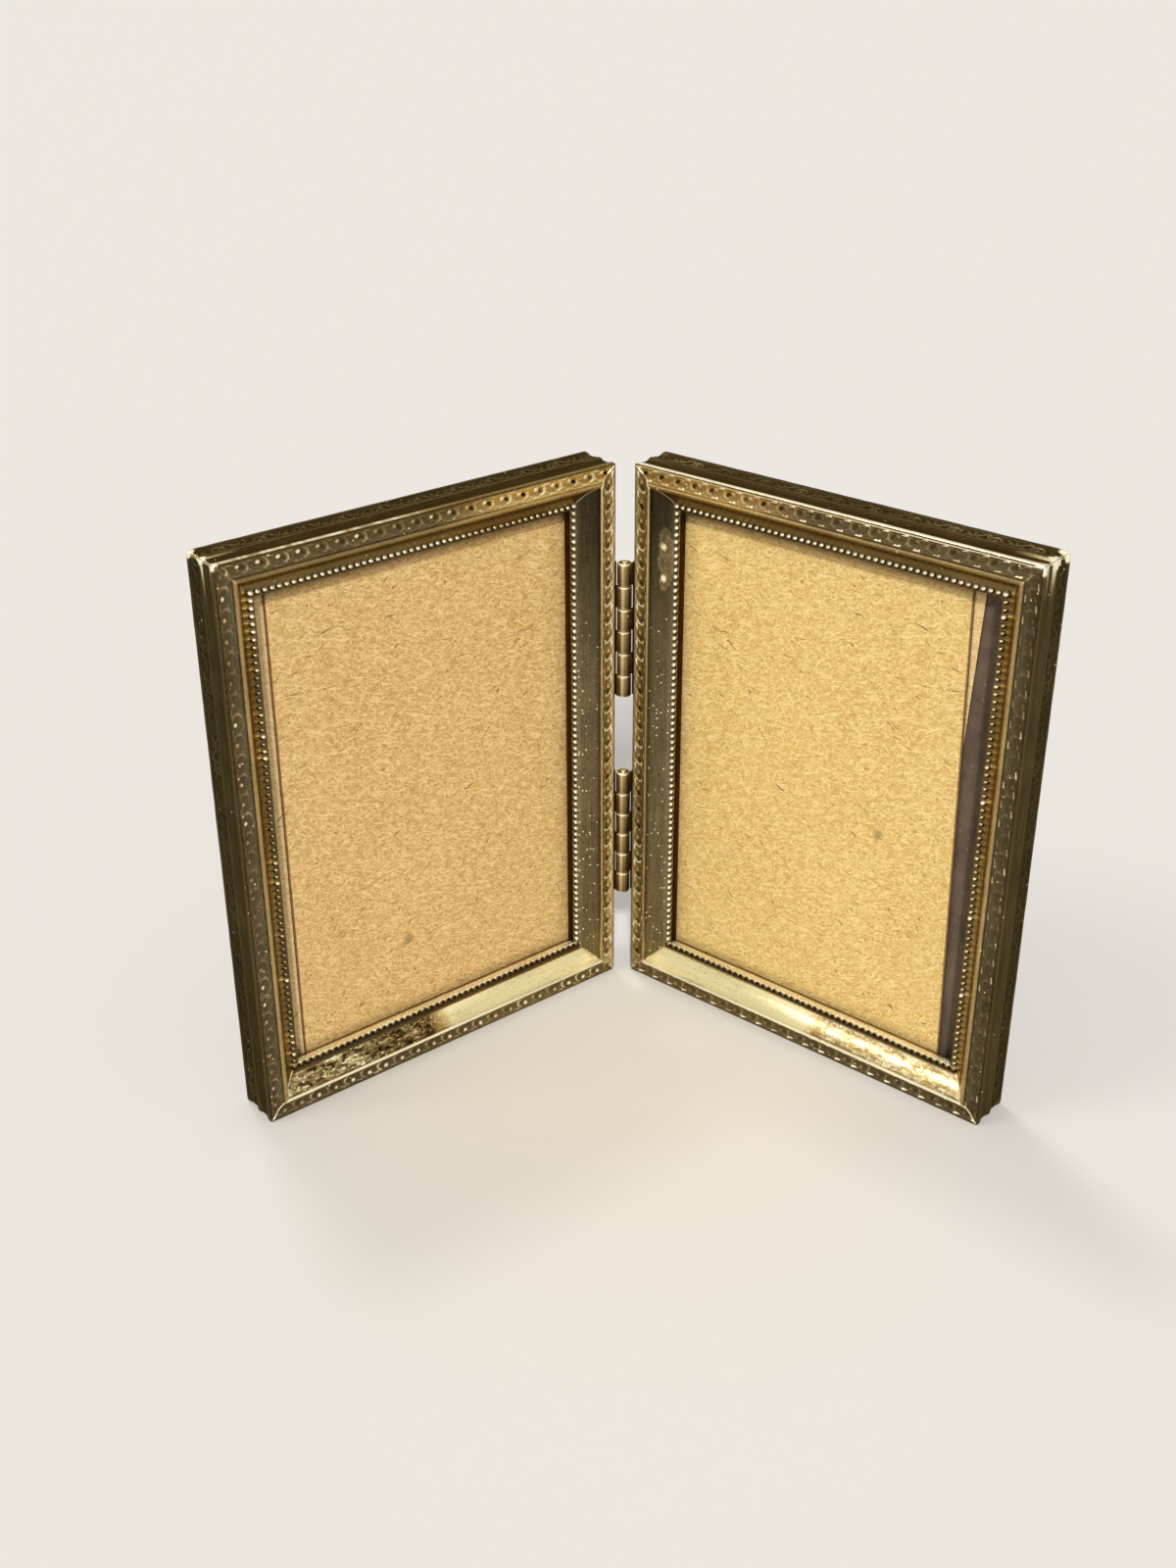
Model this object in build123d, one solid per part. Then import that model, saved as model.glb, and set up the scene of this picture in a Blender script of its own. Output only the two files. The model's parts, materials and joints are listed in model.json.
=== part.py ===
from build123d import *
import os
from math import cos, radians, sin

# Hinged double photo frame: two mitred brass frames that open like a book.
# Units are millimetres. +Z is up, the frames open towards -Y, and the hinge line is at X = 0.
# Each frame is drawn in its own flat coordinates: X runs from the hinge side to the free side,
# Y runs up, and Z runs forward. Z = 0 is the plane of the moulding's front crest.

# Overall size of one frame, and how the pair stands
frame_width = 76.0
frame_height = 102.0
opening_angle = 101.8

# Brass moulding, rolled from sheet. Offsets run inward from the outer edge of the frame,
# and depths run back from the front crest.
sheet = 0.45
face_width = 7.7
crest_land = 0.5
front_crest_radius = 0.35
rear_crest_radius = 0.3
mid_crest_depth = 4.1
side_cove_depth = 0.3
rear_band_hollow = 0.35
face_band_hollow = 0.3
ridge_offset = 3.3
ridge_width = 0.7
ridge_height = 0.5
cove_hollow = 0.35
bead_offset = 7.05
bead_diameter = 1.05
bead_foot_depth = 2.95
lip_depth = 4.55
rear_flange = 2.6
mitre_seam = 0.04

# What each frame holds, from the front to the back
pocket_margin = 2.95
glass_thickness = 0.9
card_thickness = 0.35
velvet_thickness = 0.25
board_thickness = 0.9
point_thickness = 0.4
velvet_turn_in = 11.0

# Cards that are cut narrower than the pocket, measured from the lip to the card's free edge
left_front_card_shy = 2.9
right_front_card_shy = 4.9
right_rear_card_shy = 6.1
card_margin = 4.0
right_front_card_tilt = 1.4
right_rear_card_tilt = -2.8

# Corner braces, bent strips soldered inside each mitre
brace_leg = 11.0
brace_thickness = 0.6
brace_width = 2.6

# Flat points that hold the backing under the rear flange
point_width = 5.0
point_reach = 7.4
point_side_shares = (0.25, 0.75)
point_end_shares = (0.5,)

# Knuckle hinges
hinge_length = 25.4
hinge_place_shares = (0.7, 0.3)
knuckle_diameter = 2.6
knuckle_count = 6
knuckle_gap = 0.16
pin_diameter = 1.3
pin_clearance = 0.05
pin_stand = 0.15
leaf_thickness = 0.5
leaf_margin = 0.4
notch_clearance = 0.15
closed_gap = 1.6

# One overrun serves every cut
overrun = 1.0

# Worked out from the sizes above
knuckle_radius = knuckle_diameter / 2
bead_radius = bead_diameter / 2
half_angle = radians(opening_angle / 2)
axis_forward = closed_gap / 2
glass_front = -lip_depth
glass_back = glass_front - glass_thickness
front_card_back = glass_back - card_thickness
rear_card_back = front_card_back - card_thickness
velvet_front_back = rear_card_back - velvet_thickness
board_back = velvet_front_back - board_thickness
velvet_back = board_back - velvet_thickness
flange_front = velvet_back - point_thickness
frame_depth = sheet - flange_front
side_inside = side_cove_depth + sheet
face_inside = -(face_band_hollow + sheet)
foot_inside = -(bead_foot_depth + sheet)
lip_inside = face_width - sheet


def block(low, high):
    """A box between two opposite corners."""
    size = [b - a for a, b in zip(low, high)]
    centre = [(a + b) / 2 for a, b in zip(low, high)]
    return Pos(*centre) * Box(*size)


def upright_block(low, high, depth_front, depth_back):
    """A flat sheet that fills a rectangle of the frame between two depths."""
    return block((low[0], low[1], depth_back), (high[0], high[1], depth_front))


def bowed(start, end, middle):
    """An arc from start to end through a middle point."""
    return ThreePointArc(start, middle, end)


def middle_of(start, end, across, along):
    """The point halfway between two points, moved by (across, along)."""
    return ((start[0] + end[0]) / 2 + across, (start[1] + end[1]) / 2 + along)


def moulding_section():
    """Section of the rolled moulding: X is the offset from the outer edge, Y runs forward."""
    back_low = -frame_depth
    back_land_top = back_low + rear_crest_radius + crest_land
    mid_low = -(mid_crest_depth + crest_land / 2)
    mid_high = -(mid_crest_depth - crest_land / 2)
    front_land_low = -(front_crest_radius + crest_land)

    inner_back = (face_width, back_low)
    rear_round_start = (rear_crest_radius, back_low)
    rear_round_end = (0, back_low + rear_crest_radius)
    rear_land_end = (0, back_land_top)
    mid_land_start = (0, mid_low)
    mid_land_end = (0, mid_high)
    front_land_start = (0, front_land_low)
    front_round_start = (0, -front_crest_radius)
    front_round_end = (front_crest_radius, 0)
    ridge_start = (ridge_offset - ridge_width / 2, 0)
    ridge_end = (ridge_offset + ridge_width / 2, 0)
    bead_start = (bead_offset - bead_radius, -bead_foot_depth)
    bead_end = (bead_offset + bead_radius, -bead_foot_depth)
    lip_edge = (face_width, -bead_foot_depth)

    cove_run = bead_start[0] - ridge_end[0]
    cove_drop = ridge_end[1] - bead_start[1]
    cove_chord = (cove_run ** 2 + cove_drop ** 2) ** 0.5
    cove_across = -cove_hollow * cove_drop / cove_chord
    cove_along = -cove_hollow * cove_run / cove_chord

    outline = Wire([
        Line(inner_back, rear_round_start),
        RadiusArc(rear_round_start, rear_round_end, rear_crest_radius),
        Line(rear_round_end, rear_land_end),
        bowed(rear_land_end, mid_land_start, middle_of(rear_land_end, mid_land_start, rear_band_hollow, 0)),
        Line(mid_land_start, mid_land_end),
        bowed(mid_land_end, front_land_start, middle_of(mid_land_end, front_land_start, side_cove_depth, 0)),
        Line(front_land_start, front_round_start),
        RadiusArc(front_round_start, front_round_end, front_crest_radius),
        bowed(front_round_end, ridge_start, middle_of(front_round_end, ridge_start, 0, -face_band_hollow)),
        bowed(ridge_start, ridge_end, (ridge_offset, ridge_height)),
        bowed(ridge_end, bead_start, middle_of(ridge_end, bead_start, cove_across, cove_along)),
        bowed(bead_start, bead_end, (bead_offset, bead_radius - bead_foot_depth)),
        Line(bead_end, lip_edge),
        Line(lip_edge, inner_back),
    ])
    cavity = Polygon(
        (side_inside, flange_front),
        (side_inside, face_inside),
        (ridge_offset, face_inside),
        (bead_start[0] - sheet, foot_inside),
        (lip_inside, foot_inside),
        (lip_inside, flange_front),
        align=None,
    )
    mouth = Polygon(
        (rear_flange, back_low - overrun),
        (face_width + overrun, back_low - overrun),
        (face_width + overrun, -lip_depth),
        (rear_flange, -lip_depth),
        align=None,
    )
    return make_face(outline) - cavity - mouth


def rail(length):
    """One rail along X, its outer edge at Y = 0, mitred at both ends."""
    section = Plane.YZ * moulding_section()
    bar = extrude(section, length, dir=(1, 0, 0))
    low = -(frame_depth + overrun)
    keep = Polygon(
        (mitre_seam, 0),
        (length - mitre_seam, 0),
        (length - mitre_seam - face_width, face_width),
        (mitre_seam + face_width, face_width),
        align=None,
    )
    wedge = extrude(Pos(0, 0, low) * keep, ridge_height + overrun - low, dir=(0, 0, 1))
    return bar & wedge


def rails():
    """The four rails of one frame, placed round it."""
    long_rail = rail(frame_height)
    short_rail = rail(frame_width)
    return {
        "bottom_rail": short_rail,
        "top_rail": Pos(frame_width, frame_height, 0) * Rot(0, 0, 180) * short_rail,
        "hinge_rail": Pos(0, frame_height, 0) * Rot(0, 0, -90) * long_rail,
        "outer_rail": Pos(frame_width, 0, 0) * Rot(0, 0, 90) * long_rail,
    }


def corner_braces():
    """Four angle strips that stand against the side walls inside the mitres."""
    front = face_inside - sheet
    back = front - brace_width
    leg_end = side_inside + brace_leg
    angle = upright_block((side_inside, side_inside), (leg_end, leg_end), front, back)
    inside = side_inside + brace_thickness
    angle -= upright_block((inside, inside), (leg_end + overrun, leg_end + overrun), front + overrun, back - overrun)
    corners = [
        angle,
        Pos(frame_width, 0, 0) * Rot(0, 0, 90) * angle,
        Pos(frame_width, frame_height, 0) * Rot(0, 0, 180) * angle,
        Pos(0, frame_height, 0) * Rot(0, 0, -90) * angle,
    ]
    return Compound(children=corners)


def pocket_sheet(depth_front, depth_back, inset=0.0):
    """A sheet that fills the pocket behind the lip."""
    edge = pocket_margin + inset
    return upright_block((edge, edge), (frame_width - edge, frame_height - edge), depth_front, depth_back)


def card(free_edge_shy, tilt, depth_front, depth_back):
    """A card that stands against the hinge side of the pocket and stops short of the far lip."""
    free_edge = frame_width - face_width - free_edge_shy
    low = (card_margin, card_margin)
    high = (free_edge, frame_height - card_margin)
    centre = ((low[0] + high[0]) / 2, (low[1] + high[1]) / 2)
    flat = upright_block(low, high, depth_front, depth_back)
    return Pos(*centre) * Rot(0, 0, tilt) * Pos(-centre[0], -centre[1], 0) * flat


def velvet_cover():
    """Cloth wrapped round the backing board and turned in over its front edge."""
    skin = pocket_sheet(rear_card_back, velvet_back)
    board_space = pocket_sheet(velvet_front_back, board_back, velvet_thickness)
    window = pocket_sheet(rear_card_back + overrun, velvet_front_back, velvet_turn_in)
    return skin - board_space - window


def retaining_points():
    """Flat points pushed under the rear flange, over the back of the backing."""
    start = side_inside
    side_point = upright_block((start, -point_width / 2), (point_reach, point_width / 2), velvet_back, flange_front)
    points = []
    for share in point_side_shares:
        points.append(Pos(0, frame_height * share, 0) * side_point)
        points.append(Pos(frame_width, frame_height * share, 0) * Rot(0, 0, 180) * side_point)
    for share in point_end_shares:
        points.append(Pos(frame_width * share, 0, 0) * Rot(0, 0, 90) * side_point)
        points.append(Pos(frame_width * share, frame_height, 0) * Rot(0, 0, -90) * side_point)
    return Compound(children=points)


def frame_pieces():
    """Pieces that the two frames have alike."""
    pieces = rails()
    pieces["corner_braces"] = corner_braces()
    pieces["glass"] = pocket_sheet(glass_front, glass_back)
    pieces["backing_board"] = pocket_sheet(velvet_front_back, board_back, velvet_thickness)
    pieces["velvet_cover"] = velvet_cover()
    pieces["retaining_points"] = retaining_points()
    return pieces


def hinge_leaf(centre_height, own_first):
    """One leaf of a knuckle hinge, with every second knuckle, in the flat frame's coordinates."""
    low = centre_height - hinge_length / 2
    pitch = hinge_length / knuckle_count
    axis_at = (-knuckle_radius, axis_forward)
    plate_back = leaf_margin - frame_depth
    leaf = block((-leaf_thickness, low, plate_back), (0, low + hinge_length, axis_forward))
    for number in range(knuckle_count):
        middle = low + pitch * (number + 0.5)
        place = Pos(axis_at[0], middle, axis_at[1]) * Rot(90, 0, 0)
        if number % 2 == own_first:
            leaf += place * Cylinder(knuckle_radius, pitch - knuckle_gap)
        else:
            leaf -= place * Cylinder(knuckle_radius + notch_clearance, pitch + knuckle_gap)
    bore = Cylinder(pin_diameter / 2 + pin_clearance, hinge_length + overrun)
    return leaf - Pos(axis_at[0], centre_height, axis_at[1]) * Rot(90, 0, 0) * bore


def hinge_pin(centre_height):
    """The pin of one hinge, upright on the hinge line."""
    return Pos(0, 0, centre_height) * Cylinder(pin_diameter / 2, hinge_length + 2 * pin_stand)


# The right frame stands turned about the hinge line, which is at X = 0 and Y = 0 here.
along_frame = Vector(sin(half_angle), -cos(half_angle), 0)
facing = Vector(-cos(half_angle), -sin(half_angle), 0)
frame_corner = along_frame * knuckle_radius - facing * axis_forward
right_place = Plane(origin=frame_corner, x_dir=along_frame, z_dir=facing).location


def stand_right(piece):
    """Stands a flat piece in the right frame."""
    return right_place * piece


def stand_left(piece):
    """Stands a flat piece in the left frame, the right one's mirror image."""
    return mirror(right_place * piece, about=Plane.YZ)


parts = {}
for name, piece in frame_pieces().items():
    parts["left_" + name] = stand_left(piece)
    parts["right_" + name] = stand_right(piece)

# Left frame: the front card shows a strip of the full-width rear card beyond its free edge.
parts["left_front_card"] = stand_left(card(left_front_card_shy, 0, glass_back, front_card_back))
parts["left_rear_card"] = stand_left(pocket_sheet(front_card_back, rear_card_back))

# Right frame: both cards are narrow and a little askew, and the velvet shows beyond them.
parts["right_front_card"] = stand_right(
    card(right_front_card_shy, right_front_card_tilt, glass_back, front_card_back))
parts["right_rear_card"] = stand_right(
    card(right_rear_card_shy, right_rear_card_tilt, front_card_back, rear_card_back))

for hinge_name, share in zip(("upper_hinge", "lower_hinge"), hinge_place_shares):
    height = frame_height * share
    parts[hinge_name + "_left_leaf"] = stand_left(hinge_leaf(height, 0))
    parts[hinge_name + "_right_leaf"] = stand_right(hinge_leaf(height, 1))
    parts[hinge_name + "_pin"] = hinge_pin(height)

# The part's origin is under the middle of its box, so the hinge line moves back from it.
box = Compound(children=[Compound(piece.wrapped) for piece in parts.values()]).bounding_box()
hinge_line_y = -(box.min.Y + box.max.Y) / 2

os.makedirs("parts", exist_ok=True)
for name, piece in parts.items():
    export_step(Pos(0, hinge_line_y, 0) * piece, "parts/" + name + ".step")

print("hinge line at Y", round(hinge_line_y, 4))
print("frame depth", round(frame_depth, 3), "box size", box.size)
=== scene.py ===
import json
import math

import bmesh
import bpy
import numpy as np
from mathutils import Matrix, Vector


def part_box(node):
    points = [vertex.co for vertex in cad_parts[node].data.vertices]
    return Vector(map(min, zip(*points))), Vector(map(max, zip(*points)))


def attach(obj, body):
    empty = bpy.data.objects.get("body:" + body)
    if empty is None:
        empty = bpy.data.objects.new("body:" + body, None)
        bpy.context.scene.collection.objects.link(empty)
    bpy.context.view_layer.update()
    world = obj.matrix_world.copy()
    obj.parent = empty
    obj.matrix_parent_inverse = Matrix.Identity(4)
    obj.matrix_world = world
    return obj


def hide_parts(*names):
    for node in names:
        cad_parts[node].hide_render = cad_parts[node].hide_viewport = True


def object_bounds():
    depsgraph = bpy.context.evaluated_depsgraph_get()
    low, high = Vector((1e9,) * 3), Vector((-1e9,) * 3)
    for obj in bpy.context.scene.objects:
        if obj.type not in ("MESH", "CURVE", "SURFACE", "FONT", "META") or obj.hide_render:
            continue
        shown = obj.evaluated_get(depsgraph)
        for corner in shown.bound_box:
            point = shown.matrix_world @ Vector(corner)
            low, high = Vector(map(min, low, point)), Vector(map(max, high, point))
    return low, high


# Looks of the hinged double photo frame: embossed antique brass mouldings with pearl beads, knuckle
# hinges, glass, kraft cards and velvet backs.
# Pieces are drawn in millimetres in a frame's flat coordinates: U runs from the hinge side to the
# free side, V runs up and N runs forward, with N = 0 at the moulding's front crest.
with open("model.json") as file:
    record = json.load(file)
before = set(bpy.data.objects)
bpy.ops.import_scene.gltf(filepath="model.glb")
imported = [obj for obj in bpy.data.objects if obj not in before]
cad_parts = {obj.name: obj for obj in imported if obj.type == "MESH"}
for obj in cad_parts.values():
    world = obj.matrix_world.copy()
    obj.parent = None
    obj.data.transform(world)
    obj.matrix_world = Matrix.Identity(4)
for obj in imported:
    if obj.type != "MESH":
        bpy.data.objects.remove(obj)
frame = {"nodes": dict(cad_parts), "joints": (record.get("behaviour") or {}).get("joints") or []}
cad_low, cad_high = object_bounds()

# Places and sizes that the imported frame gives
MM = 0.001
joint = frame["joints"][0]
hinge_x, hinge_y = (value / MM for value in joint["pos_m"][:2])
opening_angle = math.radians(-joint["range_deg"][0])
frame_height = (cad_high.z - cad_low.z) / MM

# Sizes of the real object, in millimetres
frame_width = 76.0
frame_depth = 8.4
face_width = 7.7
sheet = 0.45
crest_land = 0.5
front_crest_radius = 0.35
rear_crest_radius = 0.3
mid_crest_depth = 4.1
side_cove_depth = 0.3
rear_band_hollow = 0.35
face_band_hollow = 0.3
ridge_offset = 3.3
ridge_width = 0.7
ridge_height = 0.5
cove_hollow = 0.35
bead_offset = 7.05
bead_radius = 0.525
bead_foot_depth = 2.95
bead_pitch = 1.265
corner_bead_radius = 0.62
lip_edge_height = 0.1
lip_depth = 4.55
rear_flange = 2.6
mitre_seam = 0.03
mitre_sink = 0.05
mitre_sink_reach = 0.11
corner_radius = 0.45

pocket_margin = 2.95
glass_thickness = 0.9
card_thickness = 0.35
velvet_thickness = 0.25
board_thickness = 0.9
point_thickness = 0.4
velvet_turn_in = 11.0
card_margin = 4.0
card_shy = {"left_front_card": 2.9, "right_front_card": 4.9, "right_rear_card": 6.1}
card_tilt = {"right_front_card": math.radians(1.4), "right_rear_card": math.radians(-2.8)}
card_ripple = 0.05
velvet_rise = 0.16
velvet_ripple = 0.07
glass_bevel = 0.12
skin_gap = 0.03

knuckle_radius = 1.3
knuckle_count = 6
knuckle_gap = 0.16
bore_radius = 0.7
pin_radius = 0.65
pin_stand = 0.15
leaf_thickness = 0.5
leaf_margin = 0.4
notch_clearance = 0.15
axis_forward = 0.8
knuckle_ease = 0.17
bore_chamfer = 0.08
seam_depth = 0.14
seam_turn = math.radians(250)
# Painted highlight down each knuckle: its turn off the front, spread and gain; painted shade away from it
highlight_turn = math.radians(16)
highlight_spread = 0.26
highlight_gain = 0.34
painted_shade_loss = 0.2
leaf_ease = 0.1
leaf_overlap = 0.3
pin_dome = 0.3

glass_front = -lip_depth
glass_back = glass_front - glass_thickness
front_card_back = glass_back - card_thickness
rear_card_back = front_card_back - card_thickness
velvet_front_back = rear_card_back - velvet_thickness
board_back = velvet_front_back - board_thickness
velvet_back = board_back - velvet_thickness
flange_front = velvet_back - point_thickness

# Spacing of the mesh: along a rail's embossed bands, crests, hollows and plain stretches, and on a card
fine_step = 0.125
crest_step = 0.3
hollow_step = 0.3
plain_step = 6.0
card_step = 2.0

# Distances from a rail's ends at which every row has points
end_places = (0.0, 0.06, 0.13, 0.22, 0.34, 0.5)


def share_of(value, low, high):
    """Where value lies between low and high, held between 0 and 1, with soft ends."""
    share = np.clip((value - low) / (high - low), 0, 1)
    return share * share * (3 - 2 * share)


def to_row(side, points):
    """Flat coordinates of one frame, in millimetres, to the row frame, in metres."""
    points = np.asarray(points, float)
    half = opening_angle / 2
    along = points[:, 0] + knuckle_radius
    forward = points[:, 2] - axis_forward
    across = along * math.sin(half) - forward * math.cos(half)
    x = hinge_x + (across if side == "right" else -across)
    y = hinge_y - along * math.cos(half) - forward * math.sin(half)
    return np.stack([x, y, points[:, 1]], axis=1) * MM


def blend(first, second, share):
    """First where share is 0, second where it is 1."""
    return first * (1 - share) + second * share


def band_faces(low, high, around):
    """Faces between two rings of points, whose first points are low and high."""
    return [(low + k, high + k, high + (k + 1) % around, low + (k + 1) % around) for k in range(around)]


def add_object(name, data):
    """A new object in the scene, from its mesh, lamp or camera."""
    thing = bpy.data.objects.new(name, data)
    bpy.context.scene.collection.objects.link(thing)
    return thing


class Shape:
    """Points, faces and looks of one mesh, gathered in flat coordinates.

    A look is tone (0 dark, 1 bright: tarnish and rubbing, and also painted highlights, reflections and
    shade), warmth (0 olive, 1 gold) and grit (specks up to 1, crumpled like foil from 1 to 2). A run is
    the place along and across a surface, in millimetres.
    """

    def __init__(self):
        self.points, self.faces, self.kinds = [], [], []
        self.looks, self.runs = [], []
        self.count = 0

    def add(self, points, faces, look=(0.4, 0.3, 0.1), run=None, kind=0):
        points = np.asarray(points, float)
        start = self.count
        self.points.append(points)
        self.looks.append(np.broadcast_to(np.asarray(look, float), (len(points), 3)))
        self.runs.append(points[:, :2] if run is None else np.asarray(run, float))
        self.join([tuple(start + i for i in face) for face in faces], kind)
        self.count += len(points)
        return start

    def join(self, faces, kind=0):
        """Adds faces between points that are in the shape already."""
        self.faces.extend(faces)
        self.kinds.extend([kind] * len(faces))

    def build(self, name, side, materials, body, stands_for=(), crease=35.0):
        """Makes the object, stands it in its frame and lets it ride on its body. Without a side, its
        points are in the row frame already."""
        points = np.concatenate(self.points)
        placed = to_row(side, points) if side else points * MM
        faces = [face[::-1] for face in self.faces] if side == "left" else self.faces
        mesh = bpy.data.meshes.new(name)
        mesh.from_pydata(placed.tolist(), [], faces)
        mesh.polygons.foreach_set("material_index", self.kinds)
        mesh.polygons.foreach_set("use_smooth", [True] * len(faces))
        looks = np.concatenate(self.looks)
        for number, attribute in enumerate(("tone", "warmth", "grit")):
            data = mesh.attributes.new(attribute, "FLOAT", "POINT").data
            data.foreach_set("value", looks[:, number].copy())
        runs = np.concatenate(self.runs)
        runs = np.concatenate([runs, np.zeros((len(runs), 1))], axis=1)
        mesh.attributes.new("run", "FLOAT_VECTOR", "POINT").data.foreach_set("vector", runs.ravel())
        for material in materials:
            mesh.materials.append(material)
        mesh.set_sharp_from_angle(angle=math.radians(crease))
        mesh.update()
        piece = add_object(name, mesh)
        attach(piece, body)
        if stands_for:
            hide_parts(*stands_for)
        return piece


# Section of the moulding

def arc(start, end, sag, steps):
    """Points from start to end on an arc; a positive sag bows out of the metal."""
    start, end = np.array(start, float), np.array(end, float)
    chord = end - start
    length = np.hypot(*chord)
    outward = np.array([-chord[1], chord[0]]) / length
    share = np.linspace(0, 1, steps + 1)[:, None]
    radius = (length ** 2 / 4 + sag ** 2) / (2 * abs(sag))
    rise = np.sqrt(radius ** 2 - ((share - 0.5) * length) ** 2) - (radius - abs(sag))
    return start + share * chord + np.sign(sag) * rise * outward


def straight(start, end, steps=1):
    """Points from start to end on a straight line."""
    share = np.linspace(0, 1, steps + 1)[:, None]
    return np.array(start, float) * (1 - share) + np.array(end, float) * share


def round_sag(radius):
    """Sag of a quarter round over its chord."""
    return radius * (1 - math.sqrt(0.5))


def moulding_section():
    """Stretches of the section in order, each with its points and the mesh's spacing along the rail."""
    back = -frame_depth
    rear_start = (rear_crest_radius, back)
    rear_end = (0, back + rear_crest_radius)
    rear_land_end = (0, rear_end[1] + crest_land)
    mid_start = (0, -(mid_crest_depth + crest_land / 2))
    mid_end = (0, -(mid_crest_depth - crest_land / 2))
    front_land_start = (0, -(front_crest_radius + crest_land))
    front_start = (0, -front_crest_radius)
    front_end = (front_crest_radius, 0)
    ridge_start = (ridge_offset - ridge_width / 2, 0)
    ridge_end = (ridge_offset + ridge_width / 2, 0)
    strip_start = (bead_offset - bead_radius, -bead_foot_depth)
    strip_end = (bead_offset + bead_radius, -bead_foot_depth)
    lip_edge = (face_width, -bead_foot_depth)
    lip_rear = (face_width, -lip_depth)
    lip_inside = face_width - sheet
    side_inside = side_cove_depth + sheet
    face_inside = -(face_band_hollow + sheet)
    foot_inside = -(bead_foot_depth + sheet)
    inside = [lip_rear, (lip_inside, -lip_depth), (lip_inside, foot_inside),
              (strip_start[0] - sheet, foot_inside), (ridge_offset, face_inside),
              (side_inside, face_inside), (side_inside, flange_front),
              (rear_flange, flange_front), (rear_flange, back)]
    return [
        ("rear_plane", straight((rear_flange, back), rear_start, 3), plain_step),
        ("rear_round", arc(rear_start, rear_end, round_sag(rear_crest_radius), 4), crest_step),
        ("rear_land", straight(rear_end, rear_land_end, 2), crest_step),
        ("side_band", arc(rear_land_end, mid_start, -rear_band_hollow, 26), fine_step),
        ("mid_land", straight(mid_start, mid_end, 3), crest_step),
        ("side_cove", arc(mid_end, front_land_start, -side_cove_depth, 12), plain_step),
        ("front_land", straight(front_land_start, front_start, 2), crest_step),
        ("front_round", arc(front_start, front_end, round_sag(front_crest_radius), 5), crest_step),
        ("face_band", arc(front_end, ridge_start, -face_band_hollow, 22), fine_step),
        ("ridge", arc(ridge_start, ridge_end, ridge_height, 8), crest_step),
        ("cove", arc(ridge_end, strip_start, -cove_hollow, 16), hollow_step),
        ("bead_strip", straight(strip_start, strip_end, 3), plain_step),
        ("lip_edge", arc(strip_end, lip_edge, lip_edge_height, 4), crest_step),
        ("lip_wall", straight(lip_edge, lip_rear, 2), plain_step),
        ("inside", np.array(inside, float), plain_step),
    ]


# Ornament of the two embossed bands

def turned(x, y, centre, turn):
    """Places along and across the long way of an oval round centre."""
    cos, sin = math.cos(turn), math.sin(turn)
    x, y = x - centre[0], y - centre[1]
    return x * cos + y * sin, y * cos - x * sin


def ring(x, y, centre, radii, turn, width):
    """1 on an oval line round centre, falling to 0 over width."""
    along, across = turned(x, y, centre, turn)
    off = np.abs(np.hypot(along / radii[0], across / radii[1]) - 1) * min(radii)
    return 1 - share_of(off, 0, width)


def disc(x, y, centre, radii, turn=0.0):
    """A soft oval mound of height 1."""
    along, across = turned(x, y, centre, turn)
    return np.sqrt(np.clip(1 - (along / radii[0]) ** 2 - (across / radii[1]) ** 2, 0, 1))


def stroke(x, y, start, end, radius):
    """A leaf-like ridge from start, where it is thick, to end, where it is thin."""
    way = np.array(end, float) - np.array(start, float)
    share = np.clip(((x - start[0]) * way[0] + (y - start[1]) * way[1]) / (way @ way), 0, 1)
    off = np.hypot(x - start[0] - share * way[0], y - start[1] - share * way[1])
    return np.sqrt(np.clip(1 - (off / (radius * (1 - 0.65 * share))) ** 2, 0, 1))


# Husks of the face band: the pitch, the height and the parts of one repeat
husk_pitch = 3.45
husk_height = 0.13
eye = {"centre": (1.35, -0.15), "radii": (0.64, 0.34), "turn": 0.55}
rim = {"centre": (1.35, -0.15), "radii": (1.0, 0.78), "turn": 0.4, "width": 0.26}
rim_begins = (1.1, 1.9)
dot = {"centre": (0.55, -0.45), "radii": (0.42, 0.38)}
leaf = {"start": (2.15, 0.1), "end": (3.15, 0.85), "radius": 0.3}
dash = {"start": (2.3, -0.98), "end": (3.3, -0.86), "radius": 0.24}
foot = {"start": (0.1, 1.0), "end": (1.2, 1.04), "radius": 0.2}
husk_heights = {"rim": 0.65, "leaf": 0.7, "dot": 1.0, "dash": 0.8, "foot": 0.8}

# Scrolls and florets of the rear band: the pitch, the height and the parts of one repeat. Each tendril
# and blade has its way, up or down, across the band.
scroll_pitch = 7.0
scroll_height = 0.16
curl = {"centre": (1.3, 0.0), "radii": (1.05, 0.85), "turn": 0.0, "width": 0.3}
curl_heart = {"centre": (1.3, 0.0), "radii": (0.35, 0.35)}
floret_place = 4.8
petal_count = 5
petal_reach = 0.62
petal_radii = (0.42, 0.26)
tendrils = ((1, 3.0), (-1, 3.1))
tendril_rise = 0.55
tendril = {"radii": (0.8, 0.5), "turn": 0.5, "width": 0.24}
blade_ends = ((5.7, 0.2), (6.7, 0.95))
blade_radius = 0.28


def repeats(s, pitch, worn):
    """Each neighbouring repeat of a pattern: the place in it, and how much it is rubbed."""
    count = np.floor(s / pitch).astype(int)
    for step in (-1, 0, 1):
        yield s - (count + step) * pitch, worn[(count + step) % len(worn)]


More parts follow.
